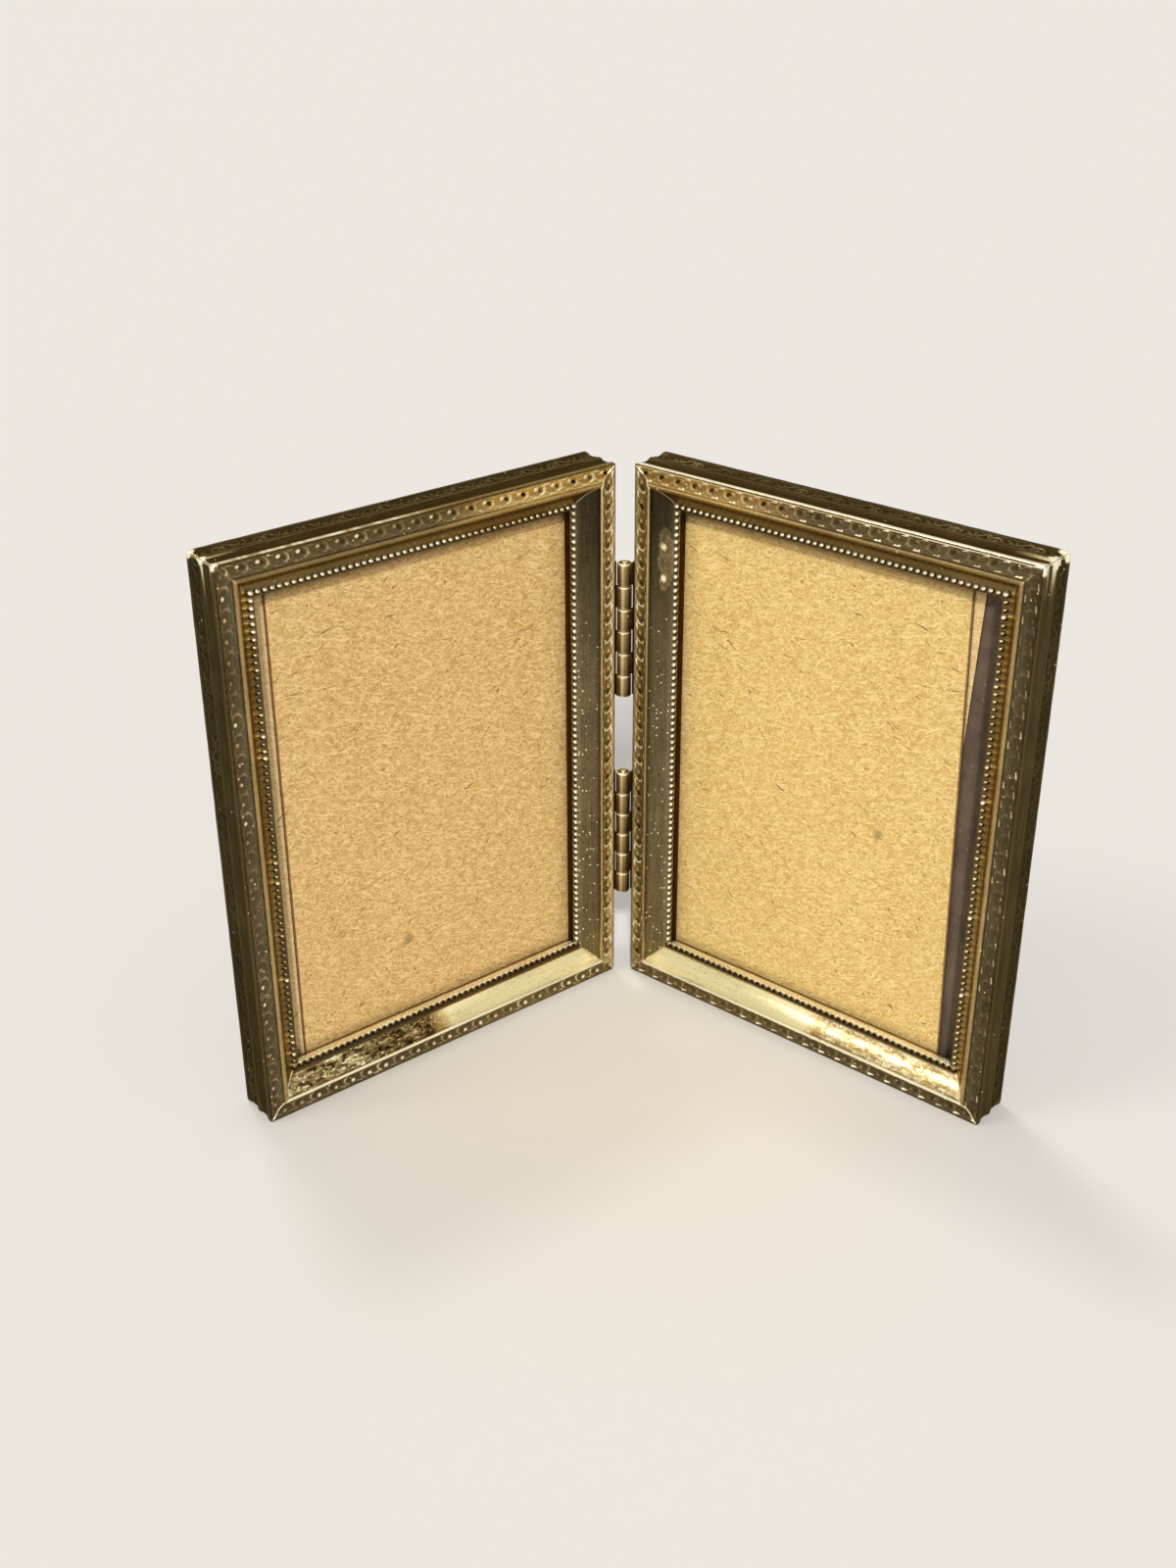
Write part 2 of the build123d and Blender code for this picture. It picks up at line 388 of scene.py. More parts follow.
def husk_chain(s, y, worn, rub_and_highlight):
    """Height, shine (rubbed, with painted highlights) and tarnish of the face band's husks; y is 0 in the
    middle and grows to the ridge.
    """
    height, shine, tarnish = np.zeros_like(s), np.zeros_like(s), np.zeros_like(s)
    for u, wear in repeats(s, husk_pitch, worn):
        parts = {"rim": ring(u, y, **rim) * share_of(u, *rim_begins), "dot": disc(u, y, **dot),
                 "leaf": stroke(u, y, **leaf), "dash": stroke(u, y, **dash), "foot": stroke(u, y, **foot)}
        hollow = disc(u, y, **eye)
        height = height - 0.6 * hollow
        for name, share in husk_heights.items():
            height = np.maximum(height, share * parts[name])
        shine = shine + rub_and_highlight["rim"] * ((0.16 + 0.4 * wear) * parts["rim"] + 0.14 * parts["leaf"])
        for name in ("dot", "dash", "foot"):
            shine = shine + (0.3 + 0.9 * wear) * rub_and_highlight[name] * parts[name]
        in_hollow = np.minimum(1, 1.5 * hollow) * (1 - np.minimum(1, 2 * parts["dot"]))
        tarnish = tarnish + (1.1 - 0.6 * wear) * in_hollow
    return height * husk_height, shine, tarnish


def scroll_band(s, y, worn, rub_and_highlight):
    """Height, shine (rubbed, with painted highlights) and tarnish of the rear band's scrolls and florets, y
    being 0 in its middle.
    """
    height, shine = np.zeros_like(s), np.zeros_like(s)
    for u, wear in repeats(s, scroll_pitch, worn):
        whole = np.maximum(ring(u, y, **curl), disc(u, y, **curl_heart))
        whole = np.maximum(whole, disc(u, y, (floret_place, 0.0), (petal_radii[1], petal_radii[1])))
        for number in range(petal_count):
            turn = number * math.tau / petal_count
            petal = (floret_place + petal_reach * math.cos(turn), petal_reach * math.sin(turn))
            whole = np.maximum(whole, 0.85 * disc(u, y, petal, petal_radii, turn))
        for way, place in tendrils:
            vine = ring(u, y, (place, tendril_rise * way), **tendril) * share_of(y * way, 0.1, 0.5)
            start, end = ((along, off * way) for along, off in blade_ends)
            whole = np.maximum(whole, 0.9 * np.maximum(vine, stroke(u, y, start, end, blade_radius)))
        height = np.maximum(height, whole)
        shine = shine + (0.1 + rub_and_highlight["scroll"] * wear ** 4) * whole
    return height * scroll_height, shine - 0.03, 0.3 * (1 - np.minimum(1, height))


ornament_of = {"face_band": husk_chain, "side_band": scroll_band}

# How bright the parts of the ornament are rubbed, with painted highlights, on each side
rub_and_highlight_of_side = {"left": {"dot": 1.2, "dash": 0.35, "foot": 0.25, "rim": 1.0, "scroll": 0.5},
                "right": {"dot": 0.25, "dash": 1.3, "foot": 1.0, "rim": 0.6, "scroll": 0.2}}
hinge_rub_and_highlight = {"dot": 0.15, "dash": 0.5, "foot": 0.8, "rim": 1.1, "scroll": 0.3}


# Looks of the moulding's stretches: tone, warmth and grit, and what a rail or one side has otherwise

plain_look = {
    "rear_plane": (0.36, 0.35, 0.15), "rear_round": (0.4, 0.25, 0.1), "rear_land": (0.3, 0.25, 0.1),
    "side_band": (0.24, 0.25, 0.1), "mid_land": (0.4, 0.2, 0.1), "side_cove": (0.17, 0.25, 0.03),
    "front_land": (0.34, 0.4, 0.1), "front_round": (0.45, 0.3, 0.1), "face_band": (0.4, 0.2, 0.1),
    "ridge": (0.6, 0.5, 0.0), "cove": (0.5, 0.25, 0.05), "bead_strip": (0.24, 0.25, 0.0),
    "lip_edge": (0.34, 0.3, 0.1), "lip_wall": (0.2, 0.85, 0.0), "inside": (0.25, 0.4, 0.0)}
rail_look = {
    # Top rails: the bright front crest is a painted highlight
    "top_rail": {"front_land": (1.0, 0.3, 0.0), "front_round": (1.0, 0.3, 0.0), "ridge": (0.5, 0.5, 0.0),
                 "bead_strip": (0.44, 0.2, 0.0)},
    "outer_rail": {"front_land": (0.33, 0.08, 0.1), "front_round": (0.38, 0.05, 0.1),
                   "face_band": (0.4, 0.1, 0.15), "ridge": (0.62, 0.5, 0.0), "cove": (0.54, 0.25, 0.05),
                   "bead_strip": (0.46, 0.2, 0.0)},
    "hinge_rail": {"front_land": (0.6, 0.4, 0.05), "face_band": (0.68, 0.5, 0.05),
                   "ridge": (0.68, 0.4, 0.0), "cove": (0.38, 0.08, 0.95), "bead_strip": (0.48, 0.1, 0.0),
                   "lip_edge": (0.74, 0.3, 0.0), "lip_wall": (0.1, 0.8, 0.0)},
    # Bottom rails: ridge and lip edge are painted highlights, and the lip wall a painted card reflection
    "bottom_rail": {"front_land": (0.5, 0.3, 0.2), "face_band": (0.38, 0.15, 0.3), "ridge": (1.0, 0.4, 0.0),
                    "cove": (0.56, 0.45, 1.9), "bead_strip": (0.22, 0.1, 0.0), "lip_edge": (1.0, 0.25, 0.0),
                    "lip_wall": (0.94, 0.2, 0.0)}}
side_look = {
    ("left", "outer_rail"): {"side_band": (0.25, 0.0, 0.1), "mid_land": (0.34, 0.0, 0.1),
                             "side_cove": (0.25, 0.0, 0.03)},
    ("right", "hinge_rail"): {"face_band": (0.56, 0.4, 0.05), "ridge": (0.62, 0.35, 0.0)},
    ("right", "bottom_rail"): {"cove": (0.8, 0.65, 1.5)},
    ("right", "outer_rail"): {"side_band": (0.26, 0.0, 0.1), "mid_land": (0.36, 0.0, 0.1),
                              "side_cove": (0.31, 0.0, 0.03), "face_band": (0.35, 0.1, 0.15)}}

# Painted reflection where a top or bottom rail turns brighter towards the hinge: tone and warmth added,
# and the shares of its length, from the free end, where that starts and is complete
hinge_painted_reflection = {
    ("top_rail", "face_band"): (0.34, 0.75, 0.5, 0.74),
    ("top_rail", "ridge"): (0.14, 0.2, 0.4, 0.7),
    ("top_rail", "cove"): (0.06, 0.3, 0.4, 0.7),
    ("bottom_rail", "cove"): (0.5, 0.6, 0.42, 0.53),
    ("bottom_rail", "face_band"): (0.06, 0.2, 0.4, 0.7)}
# How strong the painted reflection is on each side
reflection_strength = {"left": 1.0, "right": 0.75}

# How much the husks' rubbed tops with painted highlights and tarnished eyes, and the scrolls' tops, show on
# each rail, and how much more the eyes show where a top rail has its painted reflection
ornament_shine = {"top_rail": 0.8, "outer_rail": 0.5, "hinge_rail": 0.8, "bottom_rail": 1.0}
ornament_tarnish = {"top_rail": 0.16, "outer_rail": 0.04, "hinge_rail": 0.4, "bottom_rail": 0.08}
scroll_shine = {"top_rail": 1.2, "outer_rail": 0.4, "hinge_rail": 0.6, "bottom_rail": 0.4}
reflection_tarnish = 0.5

# Scallops on the inner side of the front crest, and how bright they are on each rail
scallop_pitch = 1.72
scallop_depth = {"top_rail": 0.08, "outer_rail": 0.08, "hinge_rail": 0.3, "bottom_rail": 0.08}

# Where the painted highlight on the left top rail's crest fades, as shares of its length, and how far the
# right one's painted highlight spreads beside it, in millimetres
crest_highlight_ends = (0.42, 0.56)
crest_highlight_reach = (0.12, 0.3)

# Painted reflection and shade across the cove of the top and outer rails, from the ridge to the beads:
# share of its width, tone and warmth. Its brown stripe carries painted reflections of the beads, at the
# beads' pitch, on the top rails.
cove_reflection_stripes = {
    "top_rail": ((0.0, 0.78, 0.5), (0.24, 0.72, 0.5), (0.36, 0.34, 0.8), (0.58, 0.36, 0.75),
                 (0.67, 0.52, 0.25), (0.9, 0.5, 0.25), (1.0, 0.62, 0.2)),
    "outer_rail": ((0.0, 0.92, 0.6), (0.4, 0.88, 0.6), (0.48, 0.36, 1.0), (0.58, 0.36, 1.0),
                   (0.66, 0.78, 0.4), (0.92, 0.68, 0.4), (1.0, 0.5, 0.2))}
bead_reflection_depth = 0.16
bead_reflections_begin = (0.34, 0.44)
bead_reflections_end = 0.6

# Share of the bottom rails' cove at which it turns dark beside the beads
shaded_begins = {"left": 0.8, "right": 0.89}
shaded_tone = 0.26

# The corners at the start and end of each rail, how bright each one's mitre is with wear and a painted
# highlight, how worn its crests are with painted highlights on them, where that shows, and how far both
# reach, in millimetres
corner_names = {"bottom_rail": ("hinge_bottom", "outer_bottom"), "top_rail": ("outer_top", "hinge_top"),
                "hinge_rail": ("hinge_top", "hinge_bottom"), "outer_rail": ("outer_bottom", "outer_top")}
mitre_shine = {"hinge_top": 0.5, "outer_top": 0.3, "hinge_bottom": 0.35, "outer_bottom": 0.9}
mitre_reach = 0.2
corner_wear_and_highlight = {"hinge_top": 0.3, "outer_top": 1.0, "hinge_bottom": 0.1, "outer_bottom": 0.35}
worn_at_corners = ("rear_round", "rear_land", "side_band", "mid_land", "side_cove", "front_land",
                   "front_round")
crest_highlight_radius = {"left": 0.95, "right": 1.4}
seam_wear_reach = 0.34
seam_wear = {"tone": 0.78, "warmth": 0.3}

# Solder that ran out beside the upper hinge: where its smear lies along the rail from its top and across
# it, the number and sizes of its lumps and crumbs, and its two bright drops
solder_along = (12.5, 20.5)
solder_across = (4.5, 5.9)
solder_lumps = {"count": 7, "long": (1.4, 2.6), "wide": (0.6, 0.95)}
solder_crumbs = {"count": 26, "long": (0.2, 0.55), "wide": (0.15, 0.35)}
solder_drops = ((14.4, 5.05), (20.2, 5.1))
solder_drop_size = (0.8, 0.42)
solder_rise = {"lump": 0.08, "rim": 0.04, "drop": 0.1}


def near_corner(at, amounts, reach):
    """How strongly each place along a rail feels the corners at its two ends."""
    first, last = (amounts[name] for name in corner_names[at.rail])
    near_first = first * np.exp(-((at.s - at.start) / reach) ** 2)
    near_last = last * np.exp(-((at.length - at.start - at.s) / reach) ** 2)
    return np.maximum(near_first, near_last)


def at_corner(at, amounts, reach):
    """The amounts of the two corners, up to reach from each, with soft edges."""
    first, last = (amounts[name] for name in corner_names[at.rail])
    near_first = first * (1 - share_of(at.s - at.start, 0.75 * reach, 1.15 * reach))
    near_last = last * (1 - share_of(at.length - at.start - at.s, 0.75 * reach, 1.15 * reach))
    return np.maximum(near_first, near_last)


def solder_spots(rng, kind):
    """Random places and sizes of one kind of spot in the smear."""
    for _ in range(kind["count"]):
        centre = (rng.uniform(*solder_along), rng.uniform(*solder_across))
        yield centre, (rng.uniform(*kind["long"]), rng.uniform(*kind["wide"]))


def solder(s, offset):
    """Thickness of the run-out solder, how pale its rim and crumbs are, and how its drops shine."""
    rng = np.random.default_rng(12)
    whole, crumbs, bright = np.zeros_like(s), np.zeros_like(s), np.zeros_like(s)
    for centre, size in solder_spots(rng, solder_lumps):
        whole = np.maximum(whole, disc(s, offset, centre, size, rng.uniform(-0.2, 0.2)))
    for centre, size in solder_spots(rng, solder_crumbs):
        crumbs = np.maximum(crumbs, rng.uniform(0.3, 1.0) * disc(s, offset, centre, size))
    for centre in solder_drops:
        bright = np.maximum(bright, disc(s, offset, centre, solder_drop_size, 0.15))
    rim_share = share_of(whole, 0.0, 0.25) * (1 - share_of(whole, 0.4, 0.65))
    return whole, np.maximum(rim_share, crumbs), bright


def look_of(side, rail, name):
    """Tone, warmth and grit of a stretch: its side's own, else its rail's, else the plain one."""
    of_rail = rail_look[rail].get(name, plain_look[name])
    return side_look.get((side, rail), {}).get(name, of_rail)


class Along:
    """Where one row's points lie: their side, rail and stretch, and the shares that looks follow."""

    def __init__(self, side, rail, row, s, start, length):
        self.side, self.rail, self.row, self.name = side, rail, row, row["name"]
        self.s, self.start, self.length = s, start, length
        self.share = s / length
        self.free_share = 1 - self.share if rail == "bottom_rail" else self.share
        self.across = row["share"]

    def on(self, side, rail, *names):
        """Whether the row is on this side and rail, in one of these stretches."""
        return self.side == side and self.rail == rail and self.name in names


def painted_reflection_of(at):
    """Painted reflection that a top or bottom rail gains towards the hinge: tone, warmth and its share."""
    if (at.rail, at.name) not in hinge_painted_reflection:
        return 0.0, 0.0, np.zeros_like(at.s)
    more_tone, more_warmth, begins, complete = hinge_painted_reflection[at.rail, at.name]
    reflection = share_of(at.free_share, begins, complete) * reflection_strength[at.side]
    return more_tone * reflection, more_warmth * reflection, reflection


def crest_look(at, tone, warmth):
    """Where the top crests' painted highlight fades and spreads, and the scallops inside each front crest.
    """
    if at.on("left", "top_rail", "front_land", "front_round"):
        highlight_fade = share_of(at.free_share, *crest_highlight_ends)
        tone = blend(tone - np.abs(wobble(at.s, 31, 1.3, 0.2)), 0.5, highlight_fade)
        warmth = blend(warmth, 0.5, highlight_fade)
    if at.on("right", "top_rail", "side_cove", "face_band"):
        off_crest = at.row["to_end" if at.name == "side_cove" else "from_start"]
        tone = np.maximum(tone, 1 - share_of(off_crest, *crest_highlight_reach))
    if at.name == "front_round":
        scallop = 0.5 + 0.5 * np.cos(math.tau * at.s / scallop_pitch)
        tone = blend(tone, 0.12 + scallop_depth[at.rail] * scallop, share_of(at.across, 0.3, 0.7))
    return tone, warmth


def band_look(at, tone, warmth, shine, tarnish, reflection):
    """Rubbed tops with painted highlights and tarnished hollows of the embossed bands, and a dark line
    beside the ridge.
    """
    if at.name == "side_band":
        tone = tone + scroll_shine[at.rail] * shine - 0.15 * tarnish
    if at.name == "face_band":
        line = 0.0 if at.rail == "outer_rail" else 1 - share_of(at.row["to_end"], 0.05, 0.25)
        hollows = ornament_tarnish[at.rail] + (reflection_tarnish * reflection if at.rail == "top_rail" else 0.0)
        tone = tone - 0.1 * line - hollows * tarnish + ornament_shine[at.rail] * shine
        warmth = warmth + 0.3 * line - 0.5 * np.clip(shine, 0, 1)
        warmth = warmth + 0.3 * tarnish * (at.rail == "hinge_rail")
    return tone, warmth


def cove_with_reflections(at, tone, warmth, grit, reflection):
    """The cove of a top or outer rail: painted stripes of reflection and shade, and painted bead
    reflections.
    """
    places, tones, warmths = zip(*cove_reflection_stripes[at.rail])
    plain_tone, plain_warmth, _ = look_of(at.side, at.rail, at.name)
    tone = tone - plain_tone + np.interp(at.across, places, tones)
    warmth = warmth - plain_warmth + np.interp(at.across, places, warmths)
    # Painted reflections of the beads in the brown stripe
    if at.rail == "top_rail" and at.across < bead_reflections_end:
        bead_reflection = 0.5 + 0.5 * np.cos(math.tau * (at.s - bead_offset) / bead_pitch)
        tone = tone - bead_reflection_depth * bead_reflection * share_of(at.across, *bead_reflections_begin)
    return tone, warmth, grit


def bottom_cove(at, tone, warmth, grit, reflection):
    """The crumpled cove of a bottom rail, dark beside the beads."""
    if at.side == "left":
        tone = tone - 0.2 * share_of(at.free_share, 0.2, 0.4) * (1 - reflection)
    shaded = share_of(at.across, shaded_begins[at.side], shaded_begins[at.side] + 0.08)
    return blend(tone, shaded_tone, shaded), warmth, grit * (1 - shaded)


def hinge_cove(at, tone, warmth, grit, reflection):
    """The cove of a hinge rail: dark and clean above, specked below, and solder in the right one."""
    lower = share_of(at.share, 0.1, 0.6)
    tone = tone + 0.07 * lower - 0.1 * (1 - share_of(at.row["from_start"], 0.15, 0.4))
    tone = tone - 0.18 * (1 - share_of(at.share, 0.05, 0.35)) + 0.1 * share_of(at.across, 0.72, 1.0)
    if at.side == "right":
        patch, pale, bright = solder(at.s, at.row["at"][0])
        tone = tone + 0.12 * share_of(patch, 0.0, 0.4) + 0.16 * pale + 0.6 * bright
        warmth = blend(warmth, 0.25, np.minimum(1, 2 * patch))
    return tone, warmth, grit * lower


cove_of = {"top_rail": cove_with_reflections, "outer_rail": cove_with_reflections, "bottom_rail": bottom_cove,
           "hinge_rail": hinge_cove}


def worn_look(at, tone, warmth):
    """What is rubbed bright on the hinge rail's ridge; wear and painted highlights at mitres and corners.
    """
    if at.name == "ridge" and at.rail == "hinge_rail":
        tone = tone + 0.12 * (1 - share_of(at.share, 0.1, 0.4))
    if at.name in ("face_band", "ridge", "cove"):
        tone = tone + near_corner(at, mitre_shine, mitre_reach)
    # Wear and painted highlights on the crests at the corners
    if at.name in worn_at_corners:
        blob = 1.25 * math.sqrt(max(crest_highlight_radius[at.side] ** 2 - at.row["crest_off"] ** 2, 0.0))
        worn = at_corner(at, corner_wear_and_highlight, max(blob, seam_wear_reach))
        if blob < seam_wear_reach:
            worn = seam_wear["tone"] * worn
            warmth = warmth + seam_wear["warmth"] * worn
        tone = np.maximum(tone, worn)
    return tone, warmth


def look_along(at, shine, tarnish):
    """Tone, warmth and grit of one row's points."""
    tone, warmth, grit = (np.full_like(at.s, value) for value in look_of(at.side, at.rail, at.name))
    # Painted reflection towards the hinge
    more_tone, more_warmth, reflection = painted_reflection_of(at)
    tone, warmth, grit = tone + more_tone, warmth + more_warmth, grit * (1 - reflection)
    tone, warmth = crest_look(at, tone, warmth)
    tone, warmth = band_look(at, tone, warmth, shine, tarnish, reflection)
    if at.name == "cove":
        tone, warmth, grit = cove_of[at.rail](at, tone, warmth, grit, reflection)
    tone, warmth = worn_look(at, tone, warmth)
    return np.stack([np.clip(tone, 0, 1), np.clip(warmth, 0, 1), grit], axis=1)


# Rails

def section_rows():
    """Rows of the section: place, outward direction, spacing, and where they lie in their stretch."""
    rows = []
    last_step, before = plain_step, 0.0
    for name, points, step in moulding_section():
        reach = np.concatenate([[0], np.cumsum(np.hypot(*np.diff(points, axis=0).T))])
        for number, point in enumerate(points[:-1]):
            rows.append({"at": point, "name": name, "step": min(step, last_step) if number == 0 else step,
                         "across": reach[number] - reach[-1] / 2, "from_start": reach[number],
                         "to_end": reach[-1] - reach[number], "share": reach[number] / reach[-1],
                         "reach": before + reach[number]})
        last_step = step
        before += reach[-1]
    crests = [np.mean([row["reach"] for row in rows if row["name"] == name])
              for name in ("rear_land", "mid_land", "front_land")]
    for number, row in enumerate(rows):
        way = rows[(number + 1) % len(rows)]["at"] - rows[number - 1]["at"]
        row["out"] = np.array([-way[1], way[0]]) / np.hypot(*way)
        row["crest_off"] = min(abs(row["reach"] - crest) for crest in crests)
    return rows


def end_of(offset):
    """How far along the rail a row at this offset starts: on the mitre, or on the rounded corner."""
    return np.where(offset < corner_radius, corner_radius - (corner_radius - offset) / math.sqrt(2), offset)


def places_along(length, step):
    """Shares of a rail's length where a row has points, closer together at its ends."""
    ends = np.array(end_places)
    middle = np.linspace(ends[-1], length - ends[-1], max(2, round((length - 2 * ends[-1]) / step) + 1))
    return np.unique(np.round(np.concatenate([ends, middle, length - ends]) / length, 9))


wobble_knots = 400
crest_wobble = {"knot": 1.7, "size": 0.012}


def wobble(s, seed, knot, size):
    """A slow random wave along the rail, with knots this far apart and of this size."""
    knots = np.random.default_rng(seed).normal(0, size, wobble_knots)
    return np.interp(s / knot + 5, np.arange(wobble_knots), knots)


def relief_of(row, rail, side, s, length, seed):
    """Height of the ornament, wear or solder on one row's points, and the ornament's shine and tarnish."""
    height, shine, tarnish = np.zeros_like(s), np.zeros_like(s), np.zeros_like(s)
    name = row["name"]
    if name in ornament_of:
        worn = np.random.default_rng(seed + 1).random(61) ** 1.4
        rub_and_highlight = hinge_rub_and_highlight if rail == "hinge_rail" else rub_and_highlight_of_side[side]
        height, shine, tarnish = ornament_of[name](s - length / 2, row["across"], worn, rub_and_highlight)
        edge = share_of(min(row["from_start"], row["to_end"]), 0.0, 0.2)
        height, shine, tarnish = height * edge, shine * edge, tarnish * edge
    elif name in ("front_round", "front_land", "ridge", "mid_land", "rear_round", "rear_land"):
        height = wobble(s, seed + len(name), **crest_wobble)
    elif name == "cove" and rail == "hinge_rail" and side == "right":
        patch, pale, bright = solder(s, row["at"][0])
        height = solder_rise["lump"] * patch + solder_rise["rim"] * pale + solder_rise["drop"] * bright
    return height, shine, tarnish


def row_points(row, rail, side, length, seed):
    """Points, looks and shares along the rail of one row, in the rail's own coordinates."""
    offset, depth = row["at"]
    start = float(end_of(offset))
    share = places_along(length, row["step"])
    s = start + share * (length - 2 * start)
    height, shine, tarnish = relief_of(row, rail, side, s, length, seed)
    look = look_along(Along(side, rail, row, s, start, length), shine, tarnish)
    if row["name"] != "inside":
        from_end = np.minimum(s - start, length - start - s)
        height = height - mitre_sink * np.exp(-(from_end / mitre_sink_reach) ** 2)
    d = np.maximum(offset + height * row["out"][0], 0.0)
    n = depth + height * row["out"][1]
    reach = np.clip(corner_radius - np.minimum(s, length - s), 0, None)
    bent = corner_radius - np.sqrt(np.clip((corner_radius - d) ** 2 - reach ** 2, 0, None))
    d = np.where((d < corner_radius) & (reach > 0), bent, d)
    last = np.maximum(d[[0, -1]], np.where(d[[0, -1]] > corner_radius, 0.0, end_of(d[[0, -1]])))
    s[0] = mitre_seam + last[0]
    s[-1] = length - mitre_seam - last[1]
    return np.stack([s, d, n], axis=1), look, share


def zip_rows(first, first_share, second, second_share):
    """Triangles between two rows that have different numbers of points."""
    faces = []
    i = j = 0
    while i < len(first) - 1 or j < len(second) - 1:
        go_first = j == len(second) - 1 or (
            i < len(first) - 1 and first_share[i + 1] <= second_share[j + 1])
        if go_first:
            faces.append((first[i], first[i + 1], second[j]))
            i += 1
        else:
            faces.append((first[i], second[j + 1], second[j]))
            j += 1
    return faces


up_of_rail = {"bottom_rail": (0, 1, 0), "top_rail": (0, -1, 0), "hinge_rail": (-1, 0, 0),
              "outer_rail": (1, 0, 0)}

# Up and forward shares of the direction in which each rail's beads get their painted highlight
bead_highlight_way = {"bottom_rail": (0.95, -0.3), "top_rail": (0.72, 0.69), "hinge_rail": (0.6, 0.8),
              "outer_rail": (0.8, 0.6)}

# Mesh of a bead: its rings, the points in each ring, and how far down its sides they go; then its tone,
# and what its painted highlight and the painted sheen that faces the same way add
bead_rings = 7
bead_around = 16
bead_sweep = math.radians(98)
bead_tone = 0.26
bead_painted_highlight = 0.7
bead_painted_sheen = 0.14


def bead_highlight_of(side, rail, share, luck):
    """How strong a bead's painted highlight is, by its place along the rail (0 at its start) and by luck.
    """
    if rail == "outer_rail" and side == "right":
        return 0.3 + 0.7 * luck ** 6
    if rail == "outer_rail":
        return max(0.12 + 0.88 * luck ** 8, 0.9 * float(share_of(share, 0.8, 0.97)))
    highlight_share = 0.72 + 0.28 * luck ** 0.3
    if rail == "top_rail" and side == "left" and share < 0.9:
        highlight_share *= 1 - 0.4 * float(share_of(share, 0.55, 0.7))
    return highlight_share


def bead(shape, centre, radius, place, rail, highlight_share):
    """A pearl bead that stands out of the strip, its foot sunk in it, with a painted highlight on one side.
    """
    normals = [(0, 0, 1)]
    for number in range(1, bead_rings + 1):
        polar = number / bead_rings * bead_sweep
        for step in range(bead_around):
            turn = step * math.tau / bead_around
            flat = math.sin(polar)
            normals.append((flat * math.cos(turn), flat * math.sin(turn), math.cos(polar)))
    normals = np.array(normals)
    faces = [(0, 1 + step, 1 + (step + 1) % bead_around) for step in range(bead_around)]
    for number in range(bead_rings - 1):
        faces += band_faces(1 + number * bead_around, 1 + (number + 1) * bead_around, bead_around)
    upward, forward = bead_highlight_way[rail]
    # Painted highlight and sheen on the side of the bead that faces the light
    facing = upward * normals @ np.array(up_of_rail[rail]) + forward * normals[:, 2]
    tone = bead_tone + bead_painted_highlight * highlight_share * share_of(facing, 0.5, 0.74)
    tone = tone + bead_painted_sheen * share_of(facing, 0.0, 0.5)
    look = np.stack([np.minimum(tone, 1), np.full_like(tone, 0.1), np.zeros_like(tone)], axis=1)
    points = normals * radius + np.array(centre)
    shape.add(place(points), faces, look, points[:, :2])


def rail_places(rail):
    """The function that takes a rail's own coordinates to the frame's flat ones."""
    def place(points):
        s, d, n = np.asarray(points, float).T
        if rail == "bottom_rail":
            u, v = s, d
        elif rail == "top_rail":
            u, v = frame_width - s, frame_height - d
        elif rail == "hinge_rail":
            u, v = d, frame_height - s
        else:
            u, v = frame_width - d, s
        return np.stack([u, v, n], axis=1)
    return place


def make_rail(side, rail, seed):
    """One embossed rail with its beads."""
    length = frame_width if rail in ("bottom_rail", "top_rail") else frame_height
    place = rail_places(rail)
    shape = Shape()
    rows = section_rows()
    starts, shares = [], []
    for row in rows:
        points, look, share = row_points(row, rail, side, length, seed)
        run = np.stack([points[:, 0], np.full(len(points), row["reach"])], axis=1)
        starts.append(shape.add(place(points), [], look, run))
        shares.append(share)
    faces = []
    for number in range(len(rows)):
        after = (number + 1) % len(rows)
        first = list(range(starts[number], starts[number] + len(shares[number])))
        second = list(range(starts[after], starts[after] + len(shares[after])))
        if len(first) == len(second):
            faces += [(first[i], first[i + 1], second[i + 1], second[i]) for i in range(len(first) - 1)]
        else:
            faces += zip_rows(first, shares[number], second, shares[after])
    faces.append(tuple(starts))
    faces.append(tuple(start + len(share) - 1 for start, share in zip(starts, shares))[::-1])
    shape.join(faces)

    rng = np.random.default_rng(seed)
    run = length - 2 * bead_offset
    count = round(run / bead_pitch)
    for number in range(1, count):
        s = bead_offset + run * number / count
        worn = 1 - 0.06 * rng.random()
        highlight_share = bead_highlight_of(side, rail, number / count, rng.random())
        bead(shape, (s, bead_offset, -bead_foot_depth), bead_radius * worn, place, rail, highlight_share)
    if rail in ("bottom_rail", "top_rail"):
        for s in (bead_offset, length - bead_offset):
            bead(shape, (s, bead_offset, -bead_foot_depth), corner_bead_radius, place, rail, 1.0)
    name = side + "_" + rail.replace("_rail", "_moulding")
    shape.build(name, side, [brass], side + "_frame", [side + "_" + rail])


# Flat inserts

card_waves = 5
card_wave_lengths = (14, 40)


def ripple_of(u, v, seed):
    """A slow random ripple between 0 and 1."""
    rng = np.random.default_rng(seed)
    wave = np.zeros_like(u)
    for _ in range(card_waves):
        way = rng.uniform(0, math.tau)
        length = rng.uniform(*card_wave_lengths)
        along = u * math.cos(way) + v * math.sin(way)
        wave += np.sin(along / length * math.tau + rng.uniform(0, math.tau)) / card_waves
    return 0.5 + 0.5 * wave


